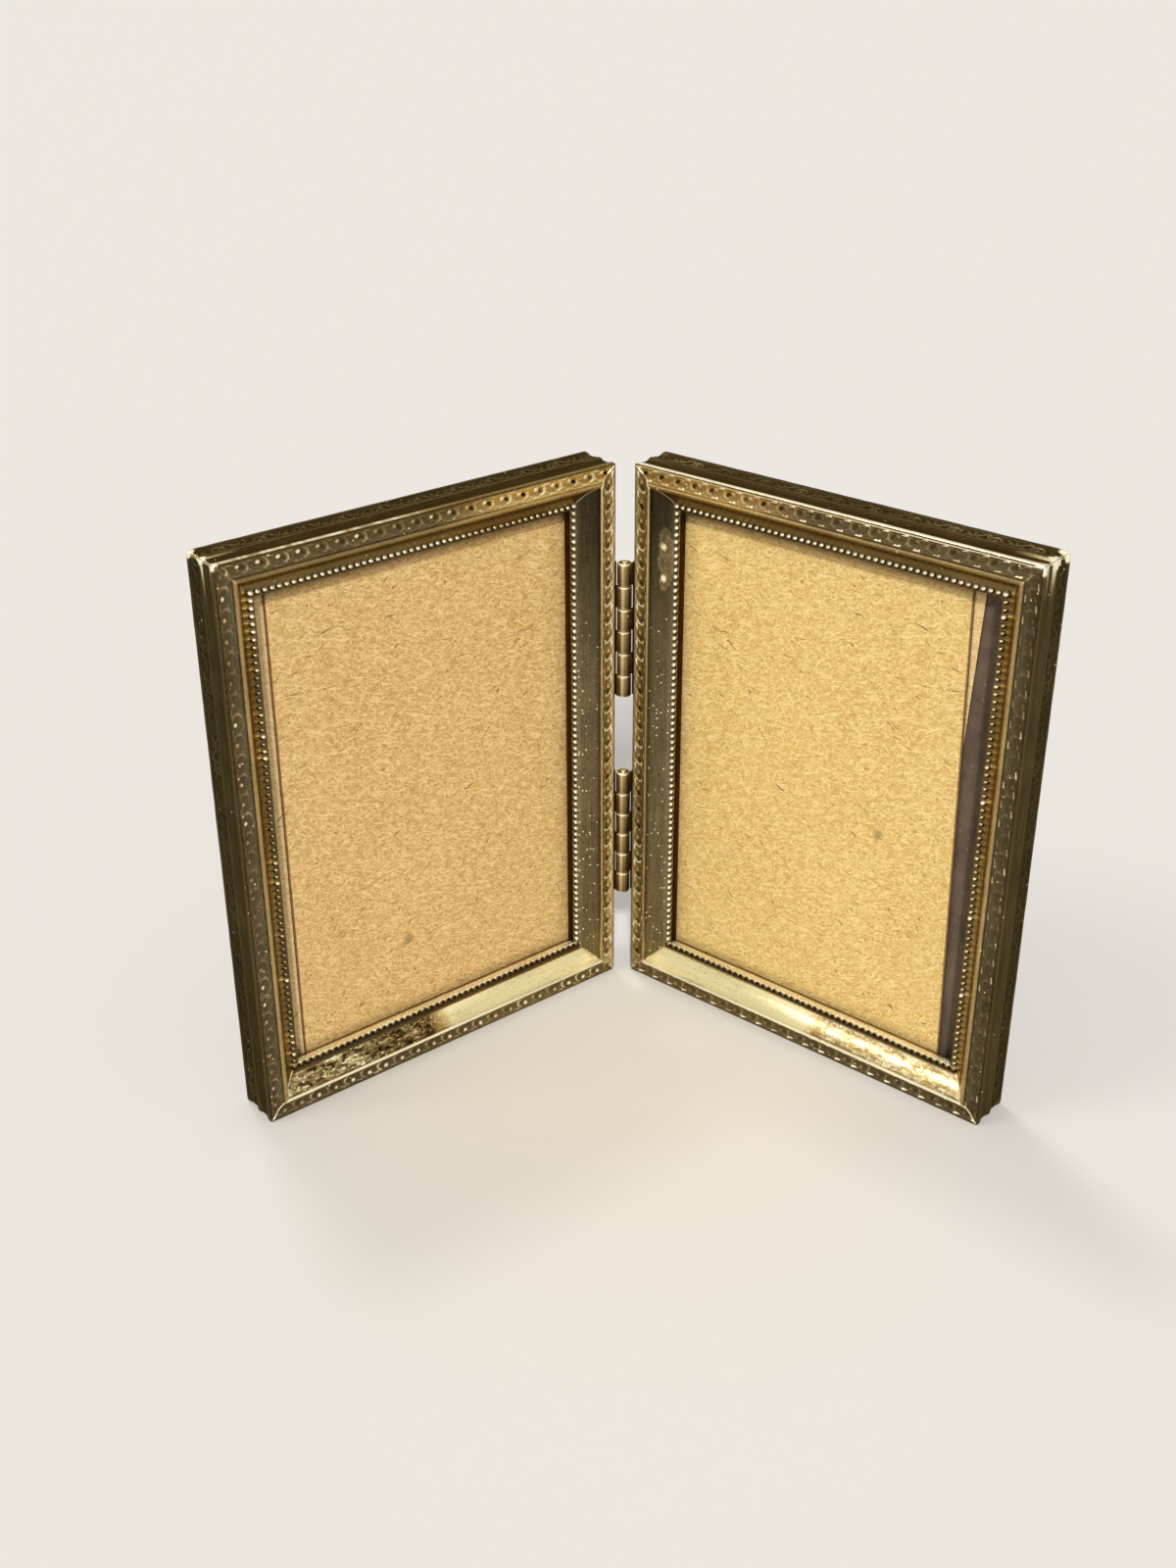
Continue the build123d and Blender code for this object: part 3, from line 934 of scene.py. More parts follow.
def card_slab(shape, low, high, front, back, turn, seed):
    """A card with a gridded, slightly rippled front and a flat back, turned about its middle."""
    across, up = (max(2, round((high[i] - low[i]) / card_step) + 1) for i in (0, 1))
    u, v = np.meshgrid(np.linspace(low[0], high[0], across), np.linspace(low[1], high[1], up),
                       indexing="ij")
    depth = front - card_ripple * ripple_of(u, v, seed)
    middle = ((low[0] + high[0]) / 2, (low[1] + high[1]) / 2)
    cos, sin = math.cos(turn), math.sin(turn)
    du, dv = u - middle[0], v - middle[1]
    turned_u, turned_v = middle[0] + du * cos - dv * sin, middle[1] + du * sin + dv * cos
    faces_of_card = [np.stack([turned_u, turned_v, n], axis=-1).reshape(-1, 3)
                     for n in (depth, np.full_like(depth, back))]
    count = across * up
    grid = np.arange(count).reshape(across, up)
    quads = [(grid[i, j], grid[i + 1, j], grid[i + 1, j + 1], grid[i, j + 1])
             for i in range(across - 1) for j in range(up - 1)]
    quads += [tuple(count + k for k in quad[::-1]) for quad in quads]
    flat = np.tile(np.stack([u, v], axis=-1).reshape(-1, 2), (2, 1))
    start = shape.add(np.concatenate(faces_of_card), quads, run=flat)
    edge = list(grid[:, 0]) + list(grid[-1, 1:]) + list(grid[-2::-1, -1]) + list(grid[0, -2:0:-1])
    edge_faces = [(k, k + count, m + count, m) for k, m in zip(edge, edge[1:] + edge[:1])]
    shape.join([tuple(start + k for k in face) for face in edge_faces], kind=1)


def make_card(side, which):
    """One kraft card. The left rear card fills its pocket; the others stop short of the free side."""
    node = side + "_" + which
    front, back = glass_back, front_card_back
    if which == "rear_card":
        front, back = front_card_back, rear_card_back
    if node in card_shy:
        low = (card_margin, card_margin)
        high = (frame_width - face_width - card_shy[node], frame_height - card_margin)
    else:
        low = (pocket_margin, pocket_margin)
        high = (frame_width - pocket_margin, frame_height - pocket_margin)
    shape = Shape()
    seed = len(side + which)
    card_slab(shape, low, high, front - skin_gap, back + skin_gap, card_tilt.get(node, 0.0), seed)
    materials = [kraft[side] if which == "front_card" else rear_kraft, card_edge]
    name = side + "_kraft_" + which
    shape.build(name, side, materials, side + "_frame", [node])


def make_glass(side):
    """The pane of one frame, with ground edges."""
    shape = Shape()
    edge = pocket_margin
    rings = [(edge + glass_bevel, glass_front - skin_gap), (edge, glass_front - skin_gap - glass_bevel),
             (edge, glass_back + skin_gap + glass_bevel), (edge + glass_bevel, glass_back + skin_gap)]
    points = []
    for inset, depth in rings:
        points += [(inset, inset, depth), (frame_width - inset, inset, depth),
                   (frame_width - inset, frame_height - inset, depth), (inset, frame_height - inset, depth)]
    faces = [(0, 1, 2, 3), (15, 14, 13, 12)]
    for low in (0, 4, 8):
        faces += band_faces(low, low + 4, 4)
    shape.add(points, faces)
    shape.build(side + "_glass_pane", side, [glass], side + "_frame", [side + "_glass"], 20)


# Mesh of the velvet: its points along each side, its rings inward on the back and its steps round the
# fold; the seeds, number and lengths of its waves; and how far from the edge its padding rises
velvet_along = 34
velvet_inward = 34
velvet_fold_steps = 6
velvet_seeds = {"left": 3, "right": 4}
velvet_waves = 6
velvet_wave_lengths = (9, 26)
velvet_pad_edge = (0.5, 6.0)


def velvet_path(reach, fold):
    """Inset and depth of the cloth's rings: the turn-in, the fold and the back, and the back's start."""
    middle_depth = (rear_card_back + velvet_back) / 2
    path = [(velvet_turn_in * share, rear_card_back - skin_gap) for share in np.linspace(1, 0.12, 12)]
    for number in range(1, velvet_fold_steps):
        turn = number / velvet_fold_steps * math.pi
        path.append((fold * (1 - math.sin(turn)), middle_depth + (fold - skin_gap) * math.cos(turn)))
    inner = np.linspace(0.12, 1, velvet_inward) ** 1.1 * reach
    return path + [(inset, velvet_back + skin_gap) for inset in inner[:-1]], len(path)


def make_velvet(side):
    """The cloth round the backing board: a padded back, folded edges and turn-ins with mitred corners."""
    half_u = frame_width / 2 - pocket_margin
    half_v = frame_height / 2 - pocket_margin
    fold = (rear_card_back - velvet_back) / 2
    path, back_begins = velvet_path(min(half_u, half_v), fold)
    rng = np.random.default_rng(velvet_seeds[side])
    waves = [(rng.uniform(0, math.tau), rng.uniform(*velvet_wave_lengths), rng.uniform(0, math.tau))
             for _ in range(velvet_waves)]
    share = np.linspace(-1, 1, velvet_along + 1)[:-1]
    ones = np.ones(velvet_along)
    rings = []
    for number, (inset, depth) in enumerate(path):
        u = np.concatenate([share, ones, -share, -ones]) * (half_u - inset)
        v = np.concatenate([-ones, share, ones, -share]) * (half_v - inset)
        soft = share_of(inset, *velvet_pad_edge) if number >= back_begins else 0.0
        wave = sum(np.sin((u * math.cos(way) + v * math.sin(way)) / length * math.tau + phase)
                   for way, length, phase in waves)
        rise = soft * (velvet_rise + velvet_ripple * wave / velvet_waves)
        rings.append(np.stack([u + frame_width / 2, v + frame_height / 2, depth - rise], axis=1))
    around = 4 * velvet_along
    faces = []
    for number in range(len(rings) - 1):
        low, high = number * around, (number + 1) * around
        faces += [(high + (k + 1) % around, high + k, low + k, low + (k + 1) % around)
                  for k in range(around)]
    last = (len(rings) - 1) * around
    faces.append(tuple(last + k for k in range(around)))
    shape = Shape()
    shape.add(np.concatenate(rings), faces)
    piece = shape.build(side + "_velvet_back", side, [velvet], side + "_frame",
                        [side + "_velvet_cover"], 60)


# Hinges

def angle_between(turn, other):
    """The angle from one turn to another, in radians, whichever way is shorter."""
    return abs((turn - other + math.pi) % math.tau - math.pi)


def lathe(shape, profile, centre, around, seam=None, lit_turn=None):
    """A turned piece about an upright axis; profile has (radius, height, tone). It may have a seam
    at one turn, and a painted highlight at another with painted shade away from it."""
    points, tones, runs = [], [], []
    seam_half = 0.6 * math.tau / around
    for radius, height, tone in profile:
        for step in range(around):
            turn = step * math.tau / around
            reach, worn = radius, 0.0
            if seam is not None and radius > bore_radius and angle_between(turn, seam) < seam_half:
                reach = radius - seam_depth
            # Painted highlight at one turn, and painted shade away from it
            if lit_turn is not None:
                gap = angle_between(turn, lit_turn)
                worn = highlight_gain * math.exp(-(gap / highlight_spread) ** 2)
                worn -= painted_shade_loss * float(share_of(gap, 0.5, 1.1))
            points.append((centre[0] + reach * math.cos(turn), height, centre[1] + reach * math.sin(turn)))
            tones.append(tone + worn)
            runs.append((height, turn * radius))
    faces = []
    for number in range(len(profile) - 1):
        faces += band_faces(number * around, (number + 1) * around, around)
    tones = np.array(tones)
    look = np.stack([tones, np.full_like(tones, 0.35), np.full_like(tones, 0.1)], axis=1)
    shape.add(points, faces, look, runs)


def knuckle(shape, low, high, centre, lit_turn):
    """One rolled knuckle with eased ends and its bore; painted highlights on its rims, the upper brightest.
    """
    ease, outer, mouth = knuckle_ease, knuckle_radius, bore_radius + bore_chamfer
    profile = [(bore_radius, low + ease, 0.05), (mouth, low, 0.3), (outer - ease, low, 0.6),
               (outer - ease / 3, low + ease / 3, 0.8), (outer, low + ease, 0.5),
               (outer, low + 2 * ease, 0.36), (outer, (low + high) / 2, 0.46),
               (outer, high - 2.4 * ease, 0.54), (outer, high - ease, 0.9),
               (outer - ease / 3, high - ease / 3, 1.0), (outer - ease, high, 1.0),
               (mouth, high, 0.5), (bore_radius, high - ease, 0.05)]
    lathe(shape, profile + profile[:1], centre, 48, seam_turn, lit_turn)


def bevelled_block(shape, low, high, ease, look=(0.38, 0.35, 0.1)):
    """A block with eased edges."""
    low, high = np.array(low, float), np.array(high, float)
    middle, half = (low + high) / 2, (high - low) / 2
    ease = min(ease, 0.45 * float(min(half)))
    bm = bmesh.new()
    bmesh.ops.create_cube(bm, size=2.0)
    for vert in bm.verts:
        vert.co = Vector([middle[i] + vert.co[i] * half[i] for i in range(3)])
    bmesh.ops.bevel(bm, geom=list(bm.edges), offset=ease, segments=2, affect="EDGES", profile=0.5)
    bm.verts.index_update()
    points = [tuple(vert.co) for vert in bm.verts]
    faces = [tuple(vert.index for vert in face.verts) for face in bm.faces]
    bm.free()
    shape.add(points, faces, look)


def pin_span(hinge):
    """Lower and upper end of a hinge's pin, in millimetres."""
    return tuple(corner.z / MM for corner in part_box(hinge + "_pin"))


def make_leaf(side, hinge):
    """One hinge leaf: a plate against the rail, notched for the other leaf, and its rolled knuckles."""
    pin_low, pin_high = pin_span(hinge)
    low, high = pin_low + pin_stand, pin_high - pin_stand
    pitch = (high - low) / knuckle_count
    centre = (-knuckle_radius, axis_forward)
    notch_reach = knuckle_radius + notch_clearance
    notch_front = axis_forward - math.sqrt(notch_reach ** 2 - (knuckle_radius - leaf_thickness) ** 2)
    shape = Shape()
    bevelled_block(shape, (-leaf_thickness, low, leaf_margin - frame_depth), (-skin_gap, high, notch_front),
                   leaf_ease)
    first = 0 if side == "left" else 1
    lit_turn = opening_angle / 2 + (-highlight_turn if side == "left" else highlight_turn)
    for number in range(first, knuckle_count, 2):
        base = low + pitch * number + knuckle_gap / 2
        top = low + pitch * (number + 1) - knuckle_gap / 2
        bevelled_block(shape, (-leaf_thickness, base, notch_front - leaf_overlap),
                       (-skin_gap, top, axis_forward), leaf_ease)
        knuckle(shape, base, top, centre, lit_turn)
    leaf_of = hinge + "_" + side
    shape.build(leaf_of + "_plate", side, [hinge_brass], side + "_frame",
                [leaf_of + "_leaf"])


def make_pin(hinge):
    """The pin of one hinge, with domed ends."""
    low, high = pin_span(hinge)
    dome = [(0.0, 0.0, 0.8), (pin_radius * 0.5, pin_dome * 0.1, 0.85),
            (pin_radius * 0.85, pin_dome * 0.5, 0.8), (pin_radius, pin_dome, 0.6)]
    profile = [(radius, low + height, tone) for radius, height, tone in dome]
    profile += [(radius, high - height, tone) for radius, height, tone in dome[::-1]]
    upright = Shape()
    lathe(upright, profile, (0.0, 0.0), 28)
    across, height, forward = np.concatenate(upright.points).T
    points = np.stack([hinge_x + across, hinge_y - forward, height], axis=1)
    shape = Shape()
    shape.add(points, upright.faces, np.concatenate(upright.looks), np.concatenate(upright.runs))
    shape.build(hinge + "_steel_pin", None, [hinge_brass], "left_frame", [hinge + "_pin"])


# Materials

def linear(red, green, blue):
    """A display colour, 0 to 255 a channel, as the linear colour that a shader takes."""
    def channel(value):
        value = value / 255
        return value / 12.92 if value <= 0.04045 else ((value + 0.055) / 1.055) ** 2.4
    return (channel(red), channel(green), channel(blue), 1.0)


class Nodes:
    """A material's node tree, with short calls for the nodes that the materials share."""

    def __init__(self, name):
        self.material = bpy.data.materials.new(name)
        self.material.use_nodes = True
        self.tree = self.material.node_tree
        self.shader = self.tree.nodes["Principled BSDF"]
        self.output = self.tree.nodes["Material Output"]
        place = self.tree.nodes.new("ShaderNodeTexCoord")
        self.millimetres = self.vector("SCALE", place.outputs["Object"], 1 / MM)

    def put(self, value, socket):
        """Links a value's socket, or sets the value; colours are given as display colours."""
        if isinstance(value, bpy.types.NodeSocket):
            self.tree.links.new(value, socket)
        elif socket.type == "RGBA":
            socket.default_value = linear(*value)
        else:
            socket.default_value = value

    def vector(self, operation, first, second):
        node = self.tree.nodes.new("ShaderNodeVectorMath")
        node.operation = operation
        self.put(first, node.inputs[0])
        self.put(second, node.inputs["Scale"] if operation == "SCALE" else node.inputs[1])
        return node.outputs["Value"] if operation == "DISTANCE" else node.outputs[0]

    def math(self, operation, first, second=0.0):
        node = self.tree.nodes.new("ShaderNodeMath")
        node.operation = operation
        self.put(first, node.inputs[0])
        self.put(second, node.inputs[1])
        return node.outputs[0]

    def times(self, first, second):
        return self.math("MULTIPLY", first, second)

    def total(self, *values):
        """The sum of the values, held between 0 and 1."""
        whole = values[0]
        for value in values[1:]:
            whole = self.math("ADD", whole, value)
        return self.math("MINIMUM", self.math("MAXIMUM", whole, 0.0), 1.0)

    def largest(self, values):
        whole = values[0]
        for value in values[1:]:
            whole = self.math("MAXIMUM", whole, value)
        return whole

    def noise(self, scale, detail=3.0, rough=0.5, at=None, colour=False):
        """Noise with this many features a millimetre."""
        node = self.tree.nodes.new("ShaderNodeTexNoise")
        self.put(self.millimetres if at is None else at, node.inputs["Vector"])
        node.inputs["Scale"].default_value = scale
        node.inputs["Detail"].default_value = detail
        node.inputs["Roughness"].default_value = rough
        return node.outputs["Color" if colour else "Fac"]

    def drawn_out(self, place, angles, lengths):
        """Coordinates in which noise has features of these lengths in millimetres, turned by angles."""
        node = self.tree.nodes.new("ShaderNodeMapping")
        node.vector_type = "TEXTURE"
        self.put(place, node.inputs["Vector"])
        node.inputs["Rotation"].default_value = angles
        node.inputs["Scale"].default_value = lengths
        return node.outputs["Vector"]

    def strokes(self, place, lengths, angles=(0.0, 0.0, 0.0), detail=3.0, rough=0.6):
        """Noise drawn out to these lengths and turned by angles."""
        return self.noise(1.0, detail, rough, at=self.drawn_out(place, angles, lengths))

    def bent(self, place, scale, amount):
        """The place, moved about by slow noise."""
        drift = self.vector("SUBTRACT", self.noise(scale, 1.0, at=place, colour=True), (0.5, 0.5, 0.5))
        return self.vector("ADD", place, self.vector("SCALE", drift, amount))

    def cells(self, scale, at=None):
        """Cells with this many a millimetre: distance to each one's middle, and a random number."""
        node = self.tree.nodes.new("ShaderNodeTexVoronoi")
        self.put(self.millimetres if at is None else at, node.inputs["Vector"])
        node.inputs["Scale"].default_value = scale
        split = self.tree.nodes.new("ShaderNodeSeparateColor")
        self.put(node.outputs["Color"], split.inputs[0])
        return node.outputs["Distance"], split.outputs[0]

    def specks(self, scale, radii, rarity, at=None):
        """Round specks in the cells whose number is above rarity, soft between two radii."""
        distance, number = self.cells(scale, at)
        return self.times(self.between(distance, *radii), self.math("GREATER_THAN", number, rarity))

    def spread(self, value, low, high):
        """A noise's usual values, stretched to run from low to high."""
        return self.between(value, 0.3, 0.7, low, high)

    def between(self, value, low, high, to_low=0.0, to_high=1.0):
        node = self.tree.nodes.new("ShaderNodeMapRange")
        for item, socket in zip((value, low, high, to_low, to_high), node.inputs):
            self.put(item, socket)
        return node.outputs[0]

    def ramp(self, value, *stops):
        """A colour that follows value through (place, colour) stops."""
        node = self.tree.nodes.new("ShaderNodeValToRGB")
        elements = node.color_ramp.elements
        while len(elements) < len(stops):
            elements.new(0.5)
        for element, (place, colour) in zip(elements, stops):
            element.position = place
            element.color = linear(*colour)
        self.put(value, node.inputs[0])
        return node.outputs[0]

    def mix(self, share, first, second):
        node = self.tree.nodes.new("ShaderNodeMix")
        node.data_type = "RGBA"
        self.put(share, node.inputs[0])
        self.put(first, node.inputs[6])
        self.put(second, node.inputs[7])
        return node.outputs[2]

    def attribute(self, name, output="Fac"):
        node = self.tree.nodes.new("ShaderNodeAttribute")
        node.attribute_name = name
        return node.outputs[output]

    def bump(self, height, distance):
        node = self.tree.nodes.new("ShaderNodeBump")
        node.inputs["Distance"].default_value = distance * MM
        self.put(height, node.inputs["Height"])
        return node.outputs["Normal"]

    def shade(self, **sockets):
        """Sets the shader's sockets, given by name with _ for spaces."""
        for name, value in sockets.items():
            self.put(value, self.shader.inputs[name.replace("_", " ")])
        return self.material


def scratches(nodes, angles):
    """Fine scratches in one direction, in patches."""
    lines = nodes.strokes(nodes.millimetres, (7.0, 0.12, 0.12), angles, 1.0, 0.5)
    patches = nodes.between(nodes.noise(0.35, 2.0), 0.5, 0.62)
    return nodes.times(nodes.between(lines, 0.68, 0.74, 0.0, 0.22), patches)


# Display colours of olive and of golden brass from tarnished to bright, and their tint at flat angles
olive_stops = ((0.0, (27, 22, 15)), (0.2, (58, 51, 37)), (0.4, (96, 86, 63)),
               (0.6, (146, 131, 98)), (0.8, (206, 190, 150)), (1.0, (255, 248, 222)))
gold_stops = ((0.0, (40, 22, 9)), (0.2, (88, 62, 28)), (0.4, (142, 113, 62)),
              (0.6, (192, 159, 98)), (0.8, (238, 208, 138)), (1.0, (255, 246, 196)))
metal_edge_tint = (200, 188, 165)


def make_brass(name):
    """Aged brass, following tone: dark where tarnished and where shade is painted, bright where rubbed and
    where highlights and reflections are painted, with grain along the rail and specks.
    """
    nodes = Nodes(name)
    grit = nodes.attribute("grit")
    run = nodes.attribute("run", "Vector")
    streak = nodes.strokes(run, (9.0, 0.3, 1.0))
    grain = nodes.noise(2.4, 3.0, 0.6)
    cloud = nodes.noise(0.11, 2.0)
    speck = nodes.specks(1.5, (0.3, 0.14), nodes.between(grit, 0.0, 1.0, 0.995, 0.72))
    scratch = nodes.math("MAXIMUM", scratches(nodes, (0.4, 0.9, 0.3)), scratches(nodes, (1.4, 0.2, 1.1)))
    crumpled = nodes.drawn_out(nodes.bent(run, 1.2, 0.7), (0.0, 0.0, 0.0), (0.75, 0.36, 1.0))
    facet = nodes.between(nodes.cells(1.0, crumpled)[1], 0.0, 1.0, -0.34, 0.36)
    zone = nodes.between(nodes.strokes(run, (4.0, 1.2, 1.0), detail=2.0), 0.35, 0.65, -0.3, 0.28)
    foil = nodes.times(nodes.between(grit, 1.0, 2.0), nodes.math("ADD", facet, zone))
    tone = nodes.total(nodes.attribute("tone"), nodes.spread(streak, -0.05, 0.05),
                       nodes.spread(grain, -0.05, 0.05), nodes.spread(cloud, -0.03, 0.03),
                       nodes.times(speck, 0.6), scratch, foil)
    olive = nodes.ramp(tone, *olive_stops)
    gold = nodes.ramp(tone, *gold_stops)
    colour = nodes.mix(nodes.attribute("warmth"), olive, gold)
    rough = nodes.total(nodes.between(tone, 0.3, 0.95, 0.46, 0.17), nodes.spread(grain, -0.05, 0.06))
    relief = nodes.math("ADD", nodes.noise(3.0, 3.0, 0.6), nodes.times(scratch, -1.0))
    relief = nodes.math("ADD", relief, nodes.times(foil, 2.0))
    metallic = nodes.between(tone, 0.78, 1.0, 1.0, 0.5)
    return nodes.shade(Base_Color=colour, Metallic=metallic, Roughness=rough, Specular_Tint=metal_edge_tint,
                       Normal=nodes.bump(relief, 0.012))


def make_plain_brass():
    """Unplated brass strip with rolling lines and dull stains."""
    nodes = Nodes("plain_brass")
    lines = nodes.strokes(nodes.millimetres, (0.3, 0.3, 6.0))
    stain = nodes.noise(0.5, 3.0, 0.6)
    tone = nodes.total(nodes.spread(lines, 0.1, 0.6), nodes.spread(stain, -0.2, 0.3))
    colour = nodes.ramp(tone, (0.0, (84, 66, 40)), (0.5, (150, 124, 76)), (1.0, (205, 176, 116)))
    return nodes.shade(Base_Color=colour, Metallic=1.0, Roughness=nodes.spread(stain, 0.3, 0.45),
                       Normal=nodes.bump(lines, 0.01))


# Fibres of the kraft card: the turn, length and width of each lot of them
kraft_fibres = ((0.15, 2.0, 0.28), (0.6, 1.9, 0.28), (2.7, 1.9, 0.28), (1.4, 1.5, 0.26))

# How far from the frame's top the painted shadow of the lip on the cards starts to fade, and ends
lip_shadow_on_card = (face_width + 1.3, face_width + 2.2)


def make_kraft(name, pale, middle, dark, stain_place=None, edge_shadow_place=None):
    """Kraft card: pressed pulp with short pale and dark fibres, longer strands and flecks. A card may
    have a stain, and a painted shadow line along its edge at one place across the frame. Every card has
    the painted shadow of the top lip."""
    nodes = Nodes(name)
    run = nodes.attribute("run", "Vector")
    curly = nodes.bent(run, 0.7, 1.0)
    pale_fibres, dark_fibres = [], []
    for number, (turn, length, width) in enumerate(kraft_fibres):
        place = nodes.vector("ADD", curly, (17.0 * number, 5.0 * number, 3.0 * number))
        threads = nodes.strokes(place, (length, width, 1.0), (0.0, 0.0, turn), 1.0, 0.5)
        pale_fibres.append(nodes.between(threads, 0.59, 0.67))
        dark_fibres.append(nodes.between(threads, 0.38, 0.3))
    strands = nodes.strokes(nodes.bent(run, 0.35, 2.4), (4.5, 0.3, 1.0), (0.0, 0.0, 0.3), 0.0, 0.5)
    pale_fibres.append(nodes.between(strands, 0.66, 0.72))
    pulp = nodes.noise(1.5, 3.0, 0.6, at=run)
    cloud = nodes.noise(0.05, 2.0, at=run)
    pale_share = nodes.largest(pale_fibres)
    dark_share = nodes.largest(dark_fibres)
    tone = nodes.total(nodes.spread(pulp, 0.24, 0.5), nodes.times(pale_share, 0.7),
                       nodes.times(dark_share, -0.26), nodes.spread(cloud, -0.05, 0.05))
    colour = nodes.ramp(tone, (0.0, dark), (0.5, middle), (1.0, pale))
    fleck = nodes.specks(0.5, (0.15, 0.08), 0.9, run)
    hairs = nodes.strokes(nodes.bent(run, 0.3, 3.0), (3.8, 0.3, 1.0), (0.0, 0.0, -0.5), 0.0, 0.5)
    hair = nodes.between(hairs, 0.775, 0.8, 0.0, 0.75)
    colour = nodes.mix(nodes.largest([nodes.times(fleck, 0.7), hair]), colour, (122, 66, 24))
    if stain_place is not None:
        from_stain = nodes.vector("DISTANCE", nodes.bent(run, 0.9, 1.2), stain_place)
        colour = nodes.mix(nodes.between(from_stain, 1.3, 0.6, 0.0, 0.45), colour, (92, 80, 44))
    # Painted shadow: a dark line along the front card's free edge
    if edge_shadow_place is not None:
        across = nodes.vector("MULTIPLY", run, (1.0, 0.0, 0.0))
        off = nodes.vector("DISTANCE", across, (edge_shadow_place, 0.0, 0.0))
        colour = nodes.mix(nodes.between(off, 0.4, 0.28, 0.0, 0.8), colour, (92, 52, 22))
    # Painted shadow of the top lip, darker towards the frame's top
    height = nodes.vector("MULTIPLY", nodes.millimetres, (0.0, 0.0, 1.0))
    from_top = nodes.vector("DISTANCE", height, (0.0, 0.0, frame_height))
    colour = nodes.mix(nodes.between(from_top, *lip_shadow_on_card, 0.6, 0.0), colour, (104, 66, 30))
    relief = nodes.math("SUBTRACT", nodes.math("ADD", pulp, pale_share), dark_share)
    return nodes.shade(Base_Color=colour, Roughness=0.85, Specular_IOR_Level=0.2,
                       Normal=nodes.bump(relief, 0.02))


def make_card_edge():
    """Cut edge of a card: darker, with the layers of the board."""
    nodes = Nodes("card_cut_edge")
    layers = nodes.noise(3.0, 3.0, 0.6)
    colour = nodes.ramp(layers, (0.3, (62, 38, 18)), (0.7, (98, 64, 32)))
    return nodes.shade(Base_Color=colour, Roughness=0.95, Specular_IOR_Level=0.1)


def make_glass_material():
    """Clear window glass that lets the lamps through, with a faint sheen and a little dust."""
    nodes = Nodes("clear_glass")
    tree = nodes.tree
    tree.nodes.remove(nodes.shader)
    clear = tree.nodes.new("ShaderNodeBsdfTransparent")
    clear.inputs["Color"].default_value = (0.985, 0.99, 0.985, 1.0)
    gloss = tree.nodes.new("ShaderNodeBsdfGlossy")
    gloss.inputs["Roughness"].default_value = 0.03
    gloss.inputs["Color"].default_value = (0.75, 0.77, 0.76, 1.0)
    fresnel = tree.nodes.new("ShaderNodeFresnel")
    fresnel.inputs["IOR"].default_value = 1.12
    mixer = tree.nodes.new("ShaderNodeMixShader")
    dust = nodes.between(nodes.noise(0.5, 4.0, 0.7), 0.35, 0.75, 0.6, 1.15)
    share = nodes.times(fresnel.outputs[0], dust)
    for number, value in enumerate((share, clear.outputs[0], gloss.outputs[0])):
        nodes.put(value, mixer.inputs[number])
    nodes.put(mixer.outputs[0], nodes.output.inputs["Surface"])
    return nodes.material


def make_velvet_material():
    """Short-pile velvet, grey-brown, brushed into patches, with specks of dust."""
    nodes = Nodes("brown_velvet")
    nap = nodes.noise(0.22, 3.0, 0.6)
    pile = nodes.noise(6.0, 2.0, 0.6)
    tone = nodes.total(nodes.spread(nap, 0.15, 0.6), nodes.between(pile, 0.25, 0.75, -0.2, 0.3))
    colour = nodes.ramp(tone, (0.0, (72, 58, 48)), (1.0, (138, 116, 98)))
    dust = nodes.specks(1.6, (0.25, 0.08), 0.92)
    colour = nodes.mix(nodes.times(dust, 0.7), colour, (205, 185, 170))
    return nodes.shade(Base_Color=colour, Roughness=0.95, Specular_IOR_Level=0.1, Sheen_Weight=0.35,
                       Sheen_Roughness=0.4, Sheen_Tint=(195, 175, 150), Normal=nodes.bump(pile, 0.1))


def make_board_material():
    """Grey backing board with flecks."""
    nodes = Nodes("grey_board")
    pulp = nodes.noise(1.2, 4.0, 0.65)
    colour = nodes.ramp(pulp, (0.3, (105, 100, 94)), (0.7, (148, 142, 134)))
    return nodes.shade(Base_Color=colour, Roughness=0.9, Normal=nodes.bump(pulp, 0.03))


def make_tinned_material():
    """Dull tinned steel with rolling lines and a little rust."""
    nodes = Nodes("tinned_steel")
    lines = nodes.strokes(nodes.millimetres, (2.5, 2.5, 0.15))
    rust = nodes.between(nodes.noise(0.7, 4.0, 0.65), 0.6, 0.72)
    colour = nodes.ramp(lines, (0.3, (120, 118, 112)), (0.7, (165, 163, 156)))
    colour = nodes.mix(nodes.times(rust, 0.7), colour, (92, 60, 38))
    return nodes.shade(Base_Color=colour, Metallic=1.0, Roughness=nodes.spread(lines, 0.35, 0.5),
                       Normal=nodes.bump(lines, 0.01))


brass = make_brass("antique_brass")
hinge_brass = make_brass("hinge_brass")
plain_brass = make_plain_brass()


def edge_of_card(side):
    """Where the free edge of a side's front card lies across the frame."""
    return frame_width - face_width - card_shy[side + "_front_card"]


left_kraft = ((250, 216, 156), (232, 190, 124), (192, 148, 84))
right_kraft = ((254, 226, 160), (242, 203, 129), (206, 162, 90))
kraft = {"left": make_kraft("kraft_card_left", *left_kraft, (42.8, 21.4, 0.0), edge_of_card("left")),
         "right": make_kraft("kraft_card_right", *right_kraft, (48.9, 44.8, 0.0), edge_of_card("right"))}
rear_kraft = make_kraft("kraft_card_rear", (252, 223, 170), (244, 207, 148), (214, 171, 108))
card_edge = make_card_edge()
glass = make_glass_material()
velvet = make_velvet_material()
grey_board = make_board_material()
tinned = make_tinned_material()


# Pieces

for side in ("left", "right"):
    for number, rail in enumerate(("bottom_rail", "top_rail", "hinge_rail", "outer_rail")):
        make_rail(side, rail, 10 * number + (5 if side == "left" else 7))
    make_card(side, "front_card")
    make_card(side, "rear_card")
    make_glass(side)
    make_velvet(side)
for hinge in ("upper_hinge", "lower_hinge"):
    make_leaf("left", hinge)
    make_leaf("right", hinge)
    make_pin(hinge)


